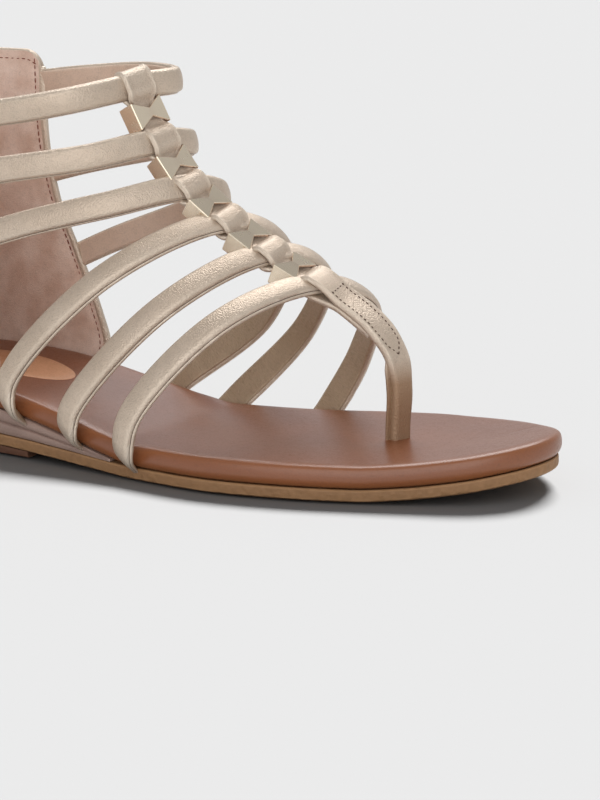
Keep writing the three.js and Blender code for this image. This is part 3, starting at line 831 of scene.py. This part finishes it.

# %% [markdown]
# ## Straps
# Each of the six straps is a face and a back of leather, their edges rolled in and joined along the side. Seen from
# the front there is the rounded face, a dark seam, and the roll that stands out beside it. So four flat tubes are
# laid one over the other: face, seam, roll and back. The seam tube is dark as painted shade of the groove, and on
# straps 4 to 6 the back is painted a little darker than the face as shade. Straps 1 to 3 slip between the leather
# and the lining of the heel shaft. Straps 4 to 6 tuck in beside the footbed and widen towards their inner ends.

# %% Strap paths
STRAPS = [  # outer end, tuck, side, shoulder, then the ridge, then inner shoulder, side, tuck and end
    [(45, -28, 107.6), (58, -28, 108.7), (72, -27, 110), (93, -20.5, 114), (105.2, 0.5, 117.4),
     (110.8, 16, 118.2), (92, 28, 118), (68, 28.3, 115.8), (49, 28.4, 113.3)],
    [(47, -28, 87.4), (61, -28, 89.6), (76, -27, 92.4), (99, -19.5, 96.3), (114, 1, 100.2),
     (117, 15, 98.5), (99, 28, 95), (72, 28.4, 89), (51.5, 28, 83.4)],
    [(54, -28.5, 67.5), (68, -28, 71.1), (83, -26.5, 75.7), (106, -19.5, 81.7), (124.5, 1.5, 86.1),
     (129.4, 14, 82.7), (105, 29.5, 72.5), (80, 29.4, 62.6), (62, 28.8, 54.4)],
    [(80.8, -32.6, 13.6), (80.6, -38.6, 18), (81.5, -40, 27), (112, -31, 61), (138, 2, 75.9),
     (148.2, 20, 67.1), (132.5, 35.5, 39.5), (105, 30.6, 17.2), (98.5, 26.5, 10.2)],
    [(104, -36.4, 8.8), (104.8, -41.8, 12.6), (107, -43, 21), (133, -31, 52.8), (152.7, 2.5, 66.7),
     (161.9, 20, 60.6), (147, 37, 36.5), (124.6, 31.6, 11.4), (120.5, 27, 5.6)],
    [(126.5, -40.8, 4.6), (127.4, -45.6, 8.8), (130.5, -46.4, 21.5), (152, -30, 49.3), (169.4, 3.5, 58.2),
     (178, 21.5, 51), (167, 38, 29.5), (156.2, 37, 10), (153.5, 33, 4.6)],
]
RIDGE = 4
STRAP_WIDTH = 8.6
STRAP_STEPS = 150
STRAP_CREASES = [  # strap, place along, width of the crease in mm, depth
    (1, 0.43, 1.2, 0.16), (1, 0.62, 1.4, 0.18), (1, 0.7, 2.0, 0.14), (2, 0.44, 1.1, 0.14), (2, 0.6, 1.3, 0.18),
    (3, 0.44, 1.2, 0.16), (3, 0.59, 1.4, 0.18), (4, 0.06, 1.0, 0.18), (4, 0.1, 1.4, 0.14), (4, 0.46, 1.2, 0.15),
    (5, 0.06, 1.1, 0.18), (5, 0.455, 1.2, 0.16), (5, 0.93, 1.2, 0.2), (6, 0.07, 1.1, 0.18), (6, 0.45, 1.2, 0.16),
    (6, 0.9, 1.1, 0.22), (6, 0.93, 1.0, 0.2),
]


def hoop_normal(points):
    return unit(np.sum(np.cross(points, np.roll(points, -1, axis=0)), axis=0))


def strap_frame(row):
    path = spaced(flowing(row, 40), STRAP_STEPS)
    normal = hoop_normal(path)
    forward = normal * np.sign(normal @ np.array([1, 0, -0.6]))
    hub = (path[0] + path[-1]) / 2
    return path, *frames(path, np.tile(forward, (len(path), 1)), path - hub)


print("strap lengths, mm:", [round(float(distances(flowing(row, 20))[-1]), 1) for row in STRAPS])

# %% Strap layers
# the second tube is the dark seam, painted shade for the groove between face and roll
LAYERS = [  # material, width, thickness, rounding, crown, shift across, offset outwards
    (0, 8.1, 2.2, 1.08, 0.7, -0.2, 0.6),
    (2, 8.1, 0.3, 0.14, 0.0, -0.1, 0.39),
    (0, 8.7, 1.5, 0.72, 0.0, 0.0, -0.3),
    (1, 7.4, 1.2, 0.5, 0.0, 0.0, -1.1),
]
TUCK = 0.07
TUCK_SHARE = 0.42
LINED_STRAPS = 3
RIDGE_PINCH, RIDGE_PINCH_REACH = 0.14, 0.04
FLARE, FLARE_FROM, FLARE_TO = 0.2, 0.7, 0.93
UNEVEN_WIDTH = 0.012


def strap_shells(number, row):
    path, across, out = strap_frame(row)
    t = np.linspace(0, 1, STRAP_STEPS)
    length = distances(path)[-1]
    ridge = t[np.argmin(np.linalg.norm(path - np.array(row[RIDGE]), axis=1))]
    thin = TUCK_SHARE + (1 - TUCK_SHARE) * smooth(np.minimum(t, 1 - t), 0, TUCK)
    pinch = 1 - RIDGE_PINCH * bell(t, ridge, RIDGE_PINCH_REACH)
    flare = 1 + FLARE * smooth(t, FLARE_FROM, FLARE_TO) * (number > LINED_STRAPS)
    dip = np.zeros(STRAP_STEPS)
    for strap, place, width, depth in STRAP_CREASES:
        dip += bell(t * length, place * length, width) * depth * (strap == number)
    shells = []
    for material, width, thickness, rounding, crown, shift, offset in LAYERS:
        sections = []
        for k in range(STRAP_STEPS):
            wide = width * (1 + UNEVEN_WIDTH * np.sin(t[k] * 9 + number)) * flare[k]
            section = outline(wide, thickness * thin[k] * pinch[k], rounding, crown=crown * thin[k])
            section[:, 0] += shift
            section[:, 1] -= dip[k] * (section[:, 1] > 0) * (0.4 + 0.6 * bell(section[:, 0], 1.0, 4))
            sections.append(section)
        shells.append(shell(ribbon(path, across, out, sections, offset * thin * pinch), material))
    return shells


for number, row in enumerate(STRAPS, 1):
    finishes = [gold_leather, lining_leather if number <= LINED_STRAPS else gold_back_shaded, seam_groove_shade]
    piece(f"strap_{number}", strap_shells(number, row), finishes, ["strap_cage"])

# %% [markdown]
# ## Instep band
# One strip of leather makes the band: it comes up behind the straps, folds over the top strap and runs down in
# front, so every strap passes through a loop. Between the loops the two layers are pinched together under a stud.
# Below the last strap the front layer becomes a stitched tab, narrows and turns into the toe post.

# %% Band path
BAND_WIDTH = 11.3
BAND_LAYER = 1.5
PINCH_WIDTH = 9.3
PINCH_LAYER = 1.3
STUD_SINK = 0.9
FRONT_LOOP = 2.85
BACK_LOOP = 2.3
LOOP_SHAPE = [  # where the strip leaves a loop and reaches a pinch: width, thickness, height
    (0.3, 0.62), (0.2, 0.6), (0.12, 0.6),
]
LAST_LOOP = 2 * len(STRAPS) - 2
BAND_STEPS = 14
POST = [  # middle, width, thickness, offset outwards
    ((179.5, 4.6, 53.2), 11.1, 1.8, 0.5),
    ((189.6, 5, 46), 10.4, 2.2, 0.3),
    ((196, 5.4, 37.2), 8.8, 3.0, 0.1),
    ((197.8, 5.6, 27), 7.6, 3.8, 0),
    ((197.2, 5.8, 15), 7.4, 3.8, 0),
    ((197.2, 5.8, 4.3), 7.4, 3.8, 0),
]


def crossing(row):
    """The ridge of a strap and the level direction that the strap takes there."""
    steps = 60
    curve = flowing(row, steps)
    along = curve[RIDGE * steps + 1] - curve[RIDGE * steps - 1]
    return np.array(row[RIDGE], float), unit(along * [1, 1, 0])


def stud_place(i):
    (above, across_above), (below, across_below) = crossing(STRAPS[i]), crossing(STRAPS[i + 1])
    down = unit(below - above)
    across = across_above + across_below
    across = unit(across - down * (across @ down))
    out = np.cross(down, across)
    return (above + below) / 2 - out * STUD_SINK, across, out


band_rows = []
for i, row in enumerate(STRAPS):
    middle, across = crossing(row)
    band_rows.append((middle, across, BAND_WIDTH, BAND_LAYER, FRONT_LOOP))
    if i < len(STRAPS) - 1:
        middle, across, out = stud_place(i)
        band_rows.append((middle, across, PINCH_WIDTH, PINCH_LAYER, PINCH_LAYER / 2))
last_across = crossing(STRAPS[-1])[1]
for middle, width, thickness, offset in POST:
    band_rows.append((np.array(middle, float), last_across, width, thickness, offset))
print("stops on the band:", len(band_rows))

# %% Band stations
def forwards(out, place):
    """The directions, all turned round if the one at `place` points back to the heel."""
    return -out if out[place][0] < 0 else out


def stations(rows, steps):
    """Smooth stops between the rows: path, across, width, thickness and offset."""
    path = flowing([r[0] for r in rows], steps)
    t = np.arange(len(path)) / steps
    k = np.minimum(t.astype(int), len(rows) - 2)
    looped = k < LAST_LOOP
    sizes = np.array([r[2:] for r in rows], float)
    eased = []
    for column, (leave, arrive) in enumerate(LOOP_SHAPE):
        held = np.where(k % 2 == 0, smooth(t - k, leave, arrive), smooth(t - k, 1 - arrive, 1 - leave))
        ease = np.where(looped, held, smooth(t - k))
        eased.append(sizes[k, column] * (1 - ease) + sizes[k + 1, column] * ease)
    eased = np.stack(eased, axis=1)
    turns = np.array([r[1] for r in rows])
    across = turns[k] + (turns[k + 1] - turns[k]) * (t - k)[:, None]
    along = unit(np.gradient(path, axis=0))
    across = square_to(along, across)
    out = np.cross(along, across)
    return path, across, forwards(out, 0), eased


front_path, front_across, front_out, front_sizes = stations(band_rows, BAND_STEPS)
front_middle = front_path + front_out * front_sizes[:, 2:3]

BACK_END = [(10.6, 1.3), (9.0, 1.5)]  # width and offset of the back layer's last two stops
back_rows = [list(r) for r in band_rows[: LAST_LOOP + 3]]
for row in back_rows[: LAST_LOOP + 1 : 2]:
    row[4] = BACK_LOOP
for row, (width, offset) in zip(back_rows[-2:], BACK_END):
    row[2], row[4] = width, offset
back_path, back_across, back_out, back_sizes = stations(back_rows, BAND_STEPS)
back_middle = back_path - back_out * back_sizes[:, 2:3]

up = unit(front_path[0] - front_path[1])
FOLD_STEPS = 10
FOLD_SINK = 1.9
FOLD_REACH = (FRONT_LOOP + BACK_LOOP) / 2
fold_centre = front_path[0] + up * (STRAP_WIDTH / 2 - FOLD_SINK) + front_out[0] * (FRONT_LOOP - BACK_LOOP) / 2
fold_angles = np.linspace(np.pi, 0, FOLD_STEPS)
fold = [fold_centre + FOLD_REACH * (front_out[0] * np.cos(a) + up * np.sin(a)) for a in fold_angles]
strip_middle = np.vstack([back_middle[::-1], fold, front_middle])
strip_across = np.vstack([back_across[::-1], np.tile(front_across[0], (FOLD_STEPS, 1)), front_across])
fold_sizes = np.tile([BAND_WIDTH, BAND_LAYER, 0], (FOLD_STEPS, 1))
strip_sizes = np.vstack([back_sizes[::-1], fold_sizes, front_sizes])
strip_along = unit(np.gradient(strip_middle, axis=0))
strip_across = square_to(strip_along, strip_across)
strip_out = forwards(np.cross(strip_along, strip_across), -1)
front_start = len(back_middle) + FOLD_STEPS
print("stops on the strip:", len(strip_middle), "of which the front begins at", front_start)

# %% Band skin
LIP = 0.42
ROUNDNESS = 0.75
strip_sections = [
    outline(width, thickness, max(ROUNDNESS, thickness * 0.48), LIP * (1 - smooth(thickness, 2.4, 3.6)))
    for width, thickness, offset in strip_sizes
]
strip_rings = ribbon(strip_middle, strip_across, strip_out, strip_sections)
piece("instep_band", [shell(strip_rings)], [band_leather], ["strap_cage"])

# %% Post flap
FLAP_ROWS = [  # place down the strip in band rows, shift across, width
    (13.0, -3.2, 1.6), (13.4, -4.0, 2.4), (14.0, -4.1, 2.2), (15.0, -3.9, 2.0), (16.0, -3.9, 2.0),
]
FLAP_THICKNESS = 0.9
FLAP_SINK = -0.7
FLAP_STEPS = 60
flap_places = np.linspace(FLAP_ROWS[0][0], FLAP_ROWS[-1][0], FLAP_STEPS)
flap_index = front_start + flap_places * BAND_STEPS
near_side = -np.sign(strip_across[-1][1])


def along_strip(values, index):
    index = np.clip(index, 0, len(values) - 1)
    low = np.floor(index).astype(int)
    high = np.minimum(low + 1, len(values) - 1)
    share = (index - low)[:, None]
    return values[low] * (1 - share) + values[high] * share


flap_across = along_strip(strip_across, flap_index) * near_side
flap_out = along_strip(strip_out, flap_index)
flap_shift = -np.array([read(FLAP_ROWS, 1, p) for p in flap_places])[:, None]
flap_path = along_strip(strip_middle, flap_index) + flap_across * flap_shift + flap_out * FLAP_SINK
flap_sections = [outline(read(FLAP_ROWS, 2, p), FLAP_THICKNESS, 0.3) for p in flap_places]
flap_rings = ribbon(flap_path, flap_across, flap_out, flap_sections)
piece("post_flap", [shell(flap_rings)], [band_leather], ["strap_cage"])

# %% [markdown]
# ## Studs
# Five plated studs, all from one mould: a strip of metal folded round the band, its front cut to a bow with a narrow
# waist. One stud is modelled round its own folded outline, and a Geometry Nodes tree sets a copy at each pinch.

# %% One stud
STUD_HALF_WIDTH = 6.1
STUD_HALF_LENGTH = 4.5
WAIST_HALF_LENGTH = 1.4
STUD_HALF_DEPTH = 2.7
STUD_TAIL = 1.8
STUD_BACK = -STUD_HALF_DEPTH - STUD_TAIL
STUD_SHEET = 0.8
WAIST_RISE = 0.55
EDGE = 0.14
FOLD = 0.3
CORNER = 0.08
STUD_PATH = [  # across, out, direction that the sheet faces, half length
    (0, STUD_HALF_DEPTH + WAIST_RISE, (0, 1), WAIST_HALF_LENGTH),
    (STUD_HALF_WIDTH - FOLD, STUD_HALF_DEPTH + 0.03, (0.08, 1), STUD_HALF_LENGTH),
    (STUD_HALF_WIDTH - CORNER, STUD_HALF_DEPTH - CORNER, (1, 1), STUD_HALF_LENGTH),
    (STUD_HALF_WIDTH, STUD_HALF_DEPTH - FOLD, (1, 0.05), STUD_HALF_LENGTH),
    (STUD_HALF_WIDTH, STUD_BACK + FOLD, (1, 0), STUD_HALF_LENGTH),
    (STUD_HALF_WIDTH - CORNER, STUD_BACK + CORNER, (1, -1), STUD_HALF_LENGTH),
    (STUD_HALF_WIDTH - FOLD, STUD_BACK, (0, -1), STUD_HALF_LENGTH),
]


def stud_ring(across, out, facing, half):
    """The sheet's own section at one place round the fold, with its edges bevelled."""
    facing = unit(np.array(facing, float))
    outer = np.array([across, out])
    inner = outer - facing * STUD_SHEET / max(abs(facing[0]), abs(facing[1]))
    ring = []
    half_ring = [(half - EDGE, 0), (half, EDGE), (half, STUD_SHEET)]
    for place, deep in half_ring + [(-place, deep) for place, deep in half_ring[::-1]]:
        point = outer + (inner - outer) * deep / STUD_SHEET
        ring.append((point[0], place, point[1]))
    return ring


stud_path = STUD_PATH + [(-x, out, (-facing[0], facing[1]), half) for x, out, facing, half in STUD_PATH[:0:-1]]
stud_rings = np.array([stud_ring(*stop) for stop in stud_path])
stud_faces, _, _ = shell_faces(shell(stud_rings, capped=False, looped=True))
one_stud = added_mesh("one_stud", stud_rings.reshape(-1, 3) * MM, [], stud_faces)
one_stud.data.update()
print("faces in one stud:", len(stud_faces))

# %% Geometry Nodes helpers
def geometry_tree(name, inputs):
    tree = bpy.data.node_groups.new(name, "GeometryNodeTree")
    sockets(tree, [("Geometry", "NodeSocketGeometry", None)] + inputs, [("Geometry", "NodeSocketGeometry")])
    return tree, tree.nodes.new("NodeGroupInput").outputs, tree.nodes.new("NodeGroupOutput").inputs


def stored_direction(tree, name):
    return node(tree, "GeometryNodeInputNamedAttribute", {"Name": name}, data_type="FLOAT_VECTOR").outputs[0]


def copies(tree, points, thing, along, given, result, rounded=False, **more):
    """Ends a tree: a copy of one thing on every point, its X axis along one direction and its Z axis along the
    points' own "out", made real and given its finish."""
    align = "FunctionNodeAlignRotationToVector"
    first = node(tree, align, {"Vector": along}, axis="X").outputs[0]
    out = stored_direction(tree, "out")
    turned = node(tree, align, {"Rotation": first, "Vector": out}, axis="Z", pivot_axis="X").outputs[0]
    laid = node(tree, "GeometryNodeInstanceOnPoints", {"Points": points, "Instance": thing, "Rotation": turned, **more})
    real = node(tree, "GeometryNodeRealizeInstances", {"Geometry": laid.outputs[0]}).outputs[0]
    if rounded:
        real = node(tree, "GeometryNodeSetShadeSmooth", {"Geometry": real}).outputs[0]
    dyed = node(tree, "GeometryNodeSetMaterial", {"Geometry": real, "Material": given["Finish"]}).outputs[0]
    tree.links.new(dyed, result["Geometry"])


def grown(name, seeds, edges, directions, tree, values, materials):
    """Runs a tree on a small mesh of points and returns the plain mesh as an object."""
    made = added_mesh(name, [Vector((p + SHIFT) * MM) for p in seeds], edges, [])
    for attribute, vectors in directions.items():
        stored = made.data.attributes.new(attribute, "FLOAT_VECTOR", "POINT")
        stored.data.foreach_set("vector", np.array(vectors, float).ravel())
    modifier = made.modifiers.new("nodes", "NODES")
    modifier.node_group = tree
    for item in tree.interface.items_tree:
        if item.item_type == "SOCKET" and item.in_out == "INPUT" and item.name in values:
            modifier[item.identifier] = values[item.name]
    seen = made.evaluated_get(bpy.context.evaluated_depsgraph_get())
    plain = bpy.data.meshes.new_from_object(seen)
    made.modifiers.clear()
    made.data = plain
    plain.name = name
    plain.materials.clear()
    for material in materials:
        plain.materials.append(material)
    return made


print("geometry helpers ready")

# %% Studs on the band
stud_tree, given, result = geometry_tree(
    "studs_on_band", [("Stud", "NodeSocketObject", None), ("Finish", "NodeSocketMaterial", None)],
)
mould = node(stud_tree, "GeometryNodeObjectInfo", {"Object": given["Stud"]}).outputs["Geometry"]
copies(stud_tree, given["Geometry"], mould, stored_direction(stud_tree, "across"), given, result)
middles, acrosses, outs = zip(*(stud_place(i) for i in range(len(STRAPS) - 1)))
studs = grown(
    "studs", middles, [], {"across": acrosses, "out": outs}, stud_tree, {"Stud": one_stud, "Finish": stud_metal},
    [stud_metal],
)
bpy.data.objects.remove(one_stud)
settle(studs, [f"stud_{i}" for i in range(1, 6)])
leave_out(leather_and_soles, studs)

# %% [markdown]
# ## Heel shaft
# Two quarters of the same gold leather wrap the heel, lined with pale suede. At the top and front the leather is
# turned over the edge and stitched down, so inside there is a narrow gold border, then the lining with a row of
# thread near its edge, and past the thread the lining puffs up a little. The shaft is one wall: its rings run round
# the outside, over the front edge and back round the inside, and the last rows close over the top edge.

# %% Shaft surface
SHAFT = [  # height, back, front, half width
    (17, -1.4, 70, 30), (28, -1.8, 76, 30), (40, -1, 73, 29), (60, 3.5, 65.2, 28), (80, 8, 57.3, 27.5),
    (100, 9.5, 53.5, 27.5), (126, 8, 52, 28.5),
]
SHAFT_WALL = 2.2
SHAFT_TOP = 124
SHAFT_CORNER = 7
SHAFT_BLEND = 24
OUTER_SETBACK = 4
ROUND_SHARE = 0.62
ANKLE_DEPTH = 32
SHAFT_COLUMNS = 110
SHAFT_ROWS = 64
BORDER = 1.0
LINING_STITCH = 2.7
CROWDING = 1.4  # how closely the columns stand at the front edges
QUARTER_LENGTH = 75  # from the back of the heel to a front edge, about
PUFF = 0.45
STITCH_DENT = 0.22
OUTSIDE_SHARE = 0.6  # how much of a crease inside shows outside
SHAFT_CREASES = [  # place round, height, slope, length, width, depth (positive stands out)
    (0.97, 46, 0.6, 11, 3.2, 0.9), (0.93, 60, -0.4, 14, 3.5, -0.5), (0.86, 36, 0.3, 12, 3.0, 0.6),
    (0.88, 84, 0.15, 14, 4.0, -0.35), (0.0, 44, 0.0, 16, 3.0, -0.5), (-0.2, 52, 0.2, 12, 3.0, 0.4),
    (0.25, 56, -0.2, 13, 3.2, 0.4), (-0.9, 44, -0.4, 12, 3.2, 0.5), (0.5, 70, 0.1, 14, 4.0, -0.3),
    (-0.5, 68, -0.1, 14, 4.0, -0.3), (0.0, 96, 0.0, 14, 4.0, 0.3),
]


def shaft_front(side, height):
    return read(SHAFT, 2, height) - (OUTER_SETBACK if side < 0 else 0)


def shaft_plan(place, height):
    side = 1 if place >= 0 else -1
    back_x, half = read(SHAFT, 1, height), read(SHAFT, 3, height)
    reach = abs(place) / ROUND_SHARE
    if reach < 1:
        turn = reach * np.pi / 2
        ankle = np.array([back_x + ANKLE_DEPTH * (1 - np.cos(turn)), side * half * np.sin(turn)])
    else:
        run = (abs(place) - ROUND_SHARE) / (1 - ROUND_SHARE)
        ankle = np.array([(back_x + ANKLE_DEPTH) * (1 - run) + shaft_front(side, height) * run, side * half])
    beside = side * (0.3 + SHAFT_WALL / 2) * min(1, abs(place) * 6)
    seat = edge_at(max(ankle[0] - back_x, 0.05) + 0.05, side) + beside
    rise = smooth(height, footbed_underside(0), footbed_underside(0) + SHAFT_BLEND)
    return np.array([ankle[0], seat * (1 - rise) + ankle[1] * rise])


def shaft_wall(rise):
    """The middle of the wall at a share of its height: where it runs, which way is out, how high, how creased and
    how far from the edge."""
    level = footbed_underside(0) * (1 - rise) + SHAFT_TOP * rise
    even = np.linspace(-1, 1, SHAFT_COLUMNS)
    place = np.sign(even) * (1 - (1 - np.abs(even)) ** CROWDING)
    middle = np.array([shaft_plan(p, level) for p in place])
    along = unit(np.gradient(middle, axis=0))
    normal = np.column_stack([-along[:, 1], along[:, 0]])
    front = np.array([shaft_front(np.sign(y), level) for y in middle[:, 1]])
    cut = np.clip(SHAFT_CORNER - (front - middle[:, 0]), 0, SHAFT_CORNER * 0.98)
    drop = SHAFT_CORNER - np.sqrt(SHAFT_CORNER**2 - cut**2)
    top = SHAFT_TOP - drop
    z = (footbed_underside(middle[:, 0]) + 0.3) * (1 - rise) + top * rise
    bulge = np.zeros(SHAFT_COLUMNS)
    for where, height, slope, length, width, depth in SHAFT_CREASES:
        run = (place - where) * QUARTER_LENGTH
        bulge += depth * bell(run, 0, length) * bell(z, height + slope * run, width)
    from_front = np.linalg.norm(middle - np.where((middle[:, 1] > 0)[:, None], middle[-1], middle[0]), axis=1)
    from_edge = np.minimum(from_front, top - z)
    return middle, normal, z, bulge * smooth(from_edge, 0, 6), from_edge


def shaft_ring(rise, shrink=0.0, sink=0.0):
    """One ring of the wall: outside, round the inner quarter's front edge, back inside, round the outer one's."""
    middle, normal, z, bulge, from_edge = shaft_wall(rise)
    reach = SHAFT_WALL / 2 - shrink
    along = unit(np.gradient(middle, axis=0))
    puff = PUFF * smooth(from_edge, LINING_STITCH, LINING_STITCH + 3)
    puff -= STITCH_DENT * bell(from_edge, LINING_STITCH, 0.5)
    outside = middle + normal * (reach - bulge * OUTSIDE_SHARE)[:, None]
    inside = middle - normal * (reach + bulge + puff * (shrink == 0))[:, None]
    ring = [np.column_stack([outside, z - sink])]
    for end, order in ((-1, 1), (0, -1)):
        for swing in np.pi * np.array([0.28, 0.5, 0.72]):
            out_share, forward = order * np.cos(swing), order * np.sin(swing)
            point = middle[end] + normal[end] * reach * out_share + along[end] * reach * forward
            ring.append([[*point, z[end] - sink]])
        if end == -1:
            ring.append(np.column_stack([inside, z - sink])[::-1])
    return np.vstack(ring)


shaft_rings = [shaft_ring(row / SHAFT_ROWS) for row in range(SHAFT_ROWS + 1)]
for shrink, rise in ((0.12, 0.25), (0.42, 0.5), (0.8, 0.62)):
    shaft_rings.append(shaft_ring(1.0, shrink, -rise))
shaft_edges = np.array([shaft_wall(row / SHAFT_ROWS)[4] for row in range(SHAFT_ROWS + 1)])


def shaft_stuff(row, side_index):
    """Leather outside and over the border, lining inside it."""
    column = 2 * SHAFT_COLUMNS + 2 - side_index
    if not 0 <= column < SHAFT_COLUMNS or row >= SHAFT_ROWS:
        return 0
    return 1 if shaft_edges[row, column] > BORDER else 0


piece("heel_quarters", [shell(shaft_rings, pick=shaft_stuff, ladder=2 * SHAFT_COLUMNS + 2)],
      [gold_leather, suede], ["heel_shaft"])
print("shaft rings:", len(shaft_rings), "of", len(shaft_rings[0]), "points")

# %% [markdown]
# ## Stitches
# Thread repeats at an even pitch along a path, which is what Geometry Nodes do best. A tree lays one small rounded
# stitch on every step of a path, turned along the path and standing out of the leather.

# %% Stitch tree
stitch_tree, given, result = geometry_tree("stitches", [
    ("Pitch", "NodeSocketFloat", 0.0016), ("Stitch Length", "NodeSocketFloat", 0.0011),
    ("Stitch Width", "NodeSocketFloat", 0.0004), ("Finish", "NodeSocketMaterial", None), ("Seed", "NodeSocketInt", 3),
])
route = node(stitch_tree, "GeometryNodeMeshToCurve", {"Mesh": given["Geometry"]}).outputs[0]
even_route = node(stitch_tree, "GeometryNodeResampleCurve", {"Curve": route, "Length": given["Pitch"]}, mode="LENGTH")
tangent = node(stitch_tree, "GeometryNodeInputTangent").outputs[0]
bead = node(stitch_tree, "GeometryNodeMeshUVSphere", {"Segments": 8, "Rings": 5, "Radius": 0.5}).outputs[0]
bead_size = node(stitch_tree, "ShaderNodeCombineXYZ", {
    0: given["Stitch Length"], 1: given["Stitch Width"], 2: given["Stitch Width"],
}).outputs[0]
uneven = node(stitch_tree, "FunctionNodeRandomValue", {2: 0.85, 3: 1.1, "Seed": given["Seed"]}, data_type="FLOAT")
varied = node(stitch_tree, "ShaderNodeVectorMath", {0: bead_size, "Scale": uneven.outputs[1]}, operation="SCALE")
copies(stitch_tree, even_route.outputs[0], bead, tangent, given, result, rounded=True, Scale=varied.outputs[0])


def stitch(name, paths, outs, finish, pitch=1.6, length=1.05, width=0.42):
    """Stitches along one or more paths, each with the direction out of the leather at its points."""
    seeds = np.vstack(paths)
    edges, start = [], 0
    for path in paths:
        edges += [(start + i, start + i + 1) for i in range(len(path) - 1)]
        start += len(path)
    made = grown(name, seeds, edges, {"out": np.vstack(outs)}, stitch_tree, {
        "Pitch": pitch * MM, "Stitch Length": length * MM, "Stitch Width": width * MM, "Finish": finish,
    }, [finish])
    return settle(made)


print("stitch tree inputs:", [i.name for i in stitch_tree.interface.items_tree if i.in_out == "INPUT"])

# %% Tab and lining stitches
TAB_FROM, TAB_TO = 0.62, 2.95  # stops past the last loop
TAB_THREAD_INSET = 2.1
tab_start = front_start + int((LAST_LOOP + TAB_FROM) * BAND_STEPS)
tab_end = front_start + int((LAST_LOOP + TAB_TO) * BAND_STEPS)
tab_steps = np.arange(tab_start, tab_end + 1)
tab_width = strip_sizes[tab_steps, 0] / 2 - TAB_THREAD_INSET
tab_width *= 1 - smooth(tab_steps, tab_end - 5, tab_end + 1) * 0.95
surface = strip_middle[tab_steps] + strip_out[tab_steps] * (strip_sizes[tab_steps, 1:2] / 2 + 0.02)
rows_of_thread, rows_out = [], []
for side in (-1, 1):
    rows_of_thread.append(surface + strip_across[tab_steps] * (side * tab_width)[:, None])
    rows_out.append(strip_out[tab_steps])
cross_share = np.linspace(-1, 1, 9)[:, None]
rows_of_thread.append(surface[0] + strip_across[tab_start] * cross_share * tab_width[0])
rows_out.append(np.tile(strip_out[tab_start], (9, 1)))
stitch("tab_stitches", rows_of_thread, rows_out, thread)

flap_top = flap_path + flap_out * (FLAP_THICKNESS / 2 + 0.02) - flap_across * 0.35
stitch("post_stitches", [flap_top[6:-4]], [flap_out[6:-4]], pale_thread, pitch=1.5, length=1.0, width=0.4)

inner_rows, inner_out = [], []
for half in (np.arange(SHAFT_COLUMNS // 2, SHAFT_COLUMNS), np.arange(SHAFT_COLUMNS // 2)[::-1]):
    line, outs = [], []
    for row in range(3, SHAFT_ROWS):
        middle, normal, z, _, _ = shaft_wall(row / SHAFT_ROWS)
        gap = np.linalg.norm(middle[half] - middle[half[-1]], axis=1)[::-1]
        column = np.interp(LINING_STITCH, gap, half[::-1])
        inwards = np.append(-normal[int(column)], 0)
        point = along_strip(np.column_stack([middle, z]), np.array([column]))[0]
        point = point + inwards * (SHAFT_WALL / 2 - 0.12)
        if SHAFT_TOP - point[2] < LINING_STITCH:
            break
        line.append(point)
        outs.append(inwards)
    inner_rows.append(np.array(line))
    inner_out.append(np.array(outs))
middle, normal, z, _, _ = shaft_wall(1 - LINING_STITCH / (SHAFT_TOP - footbed_underside(0)))
keep = np.minimum(*(np.linalg.norm(middle - middle[k], axis=1) for k in (0, -1))) > LINING_STITCH
inner_rows.append(np.column_stack([middle - normal * (SHAFT_WALL / 2 - 0.1), z])[keep])
inner_out.append(np.column_stack([-normal, np.zeros(SHAFT_COLUMNS)])[keep])
stitch("lining_stitches", inner_rows, inner_out, lining_thread, pitch=2.2, length=1.7, width=0.45)
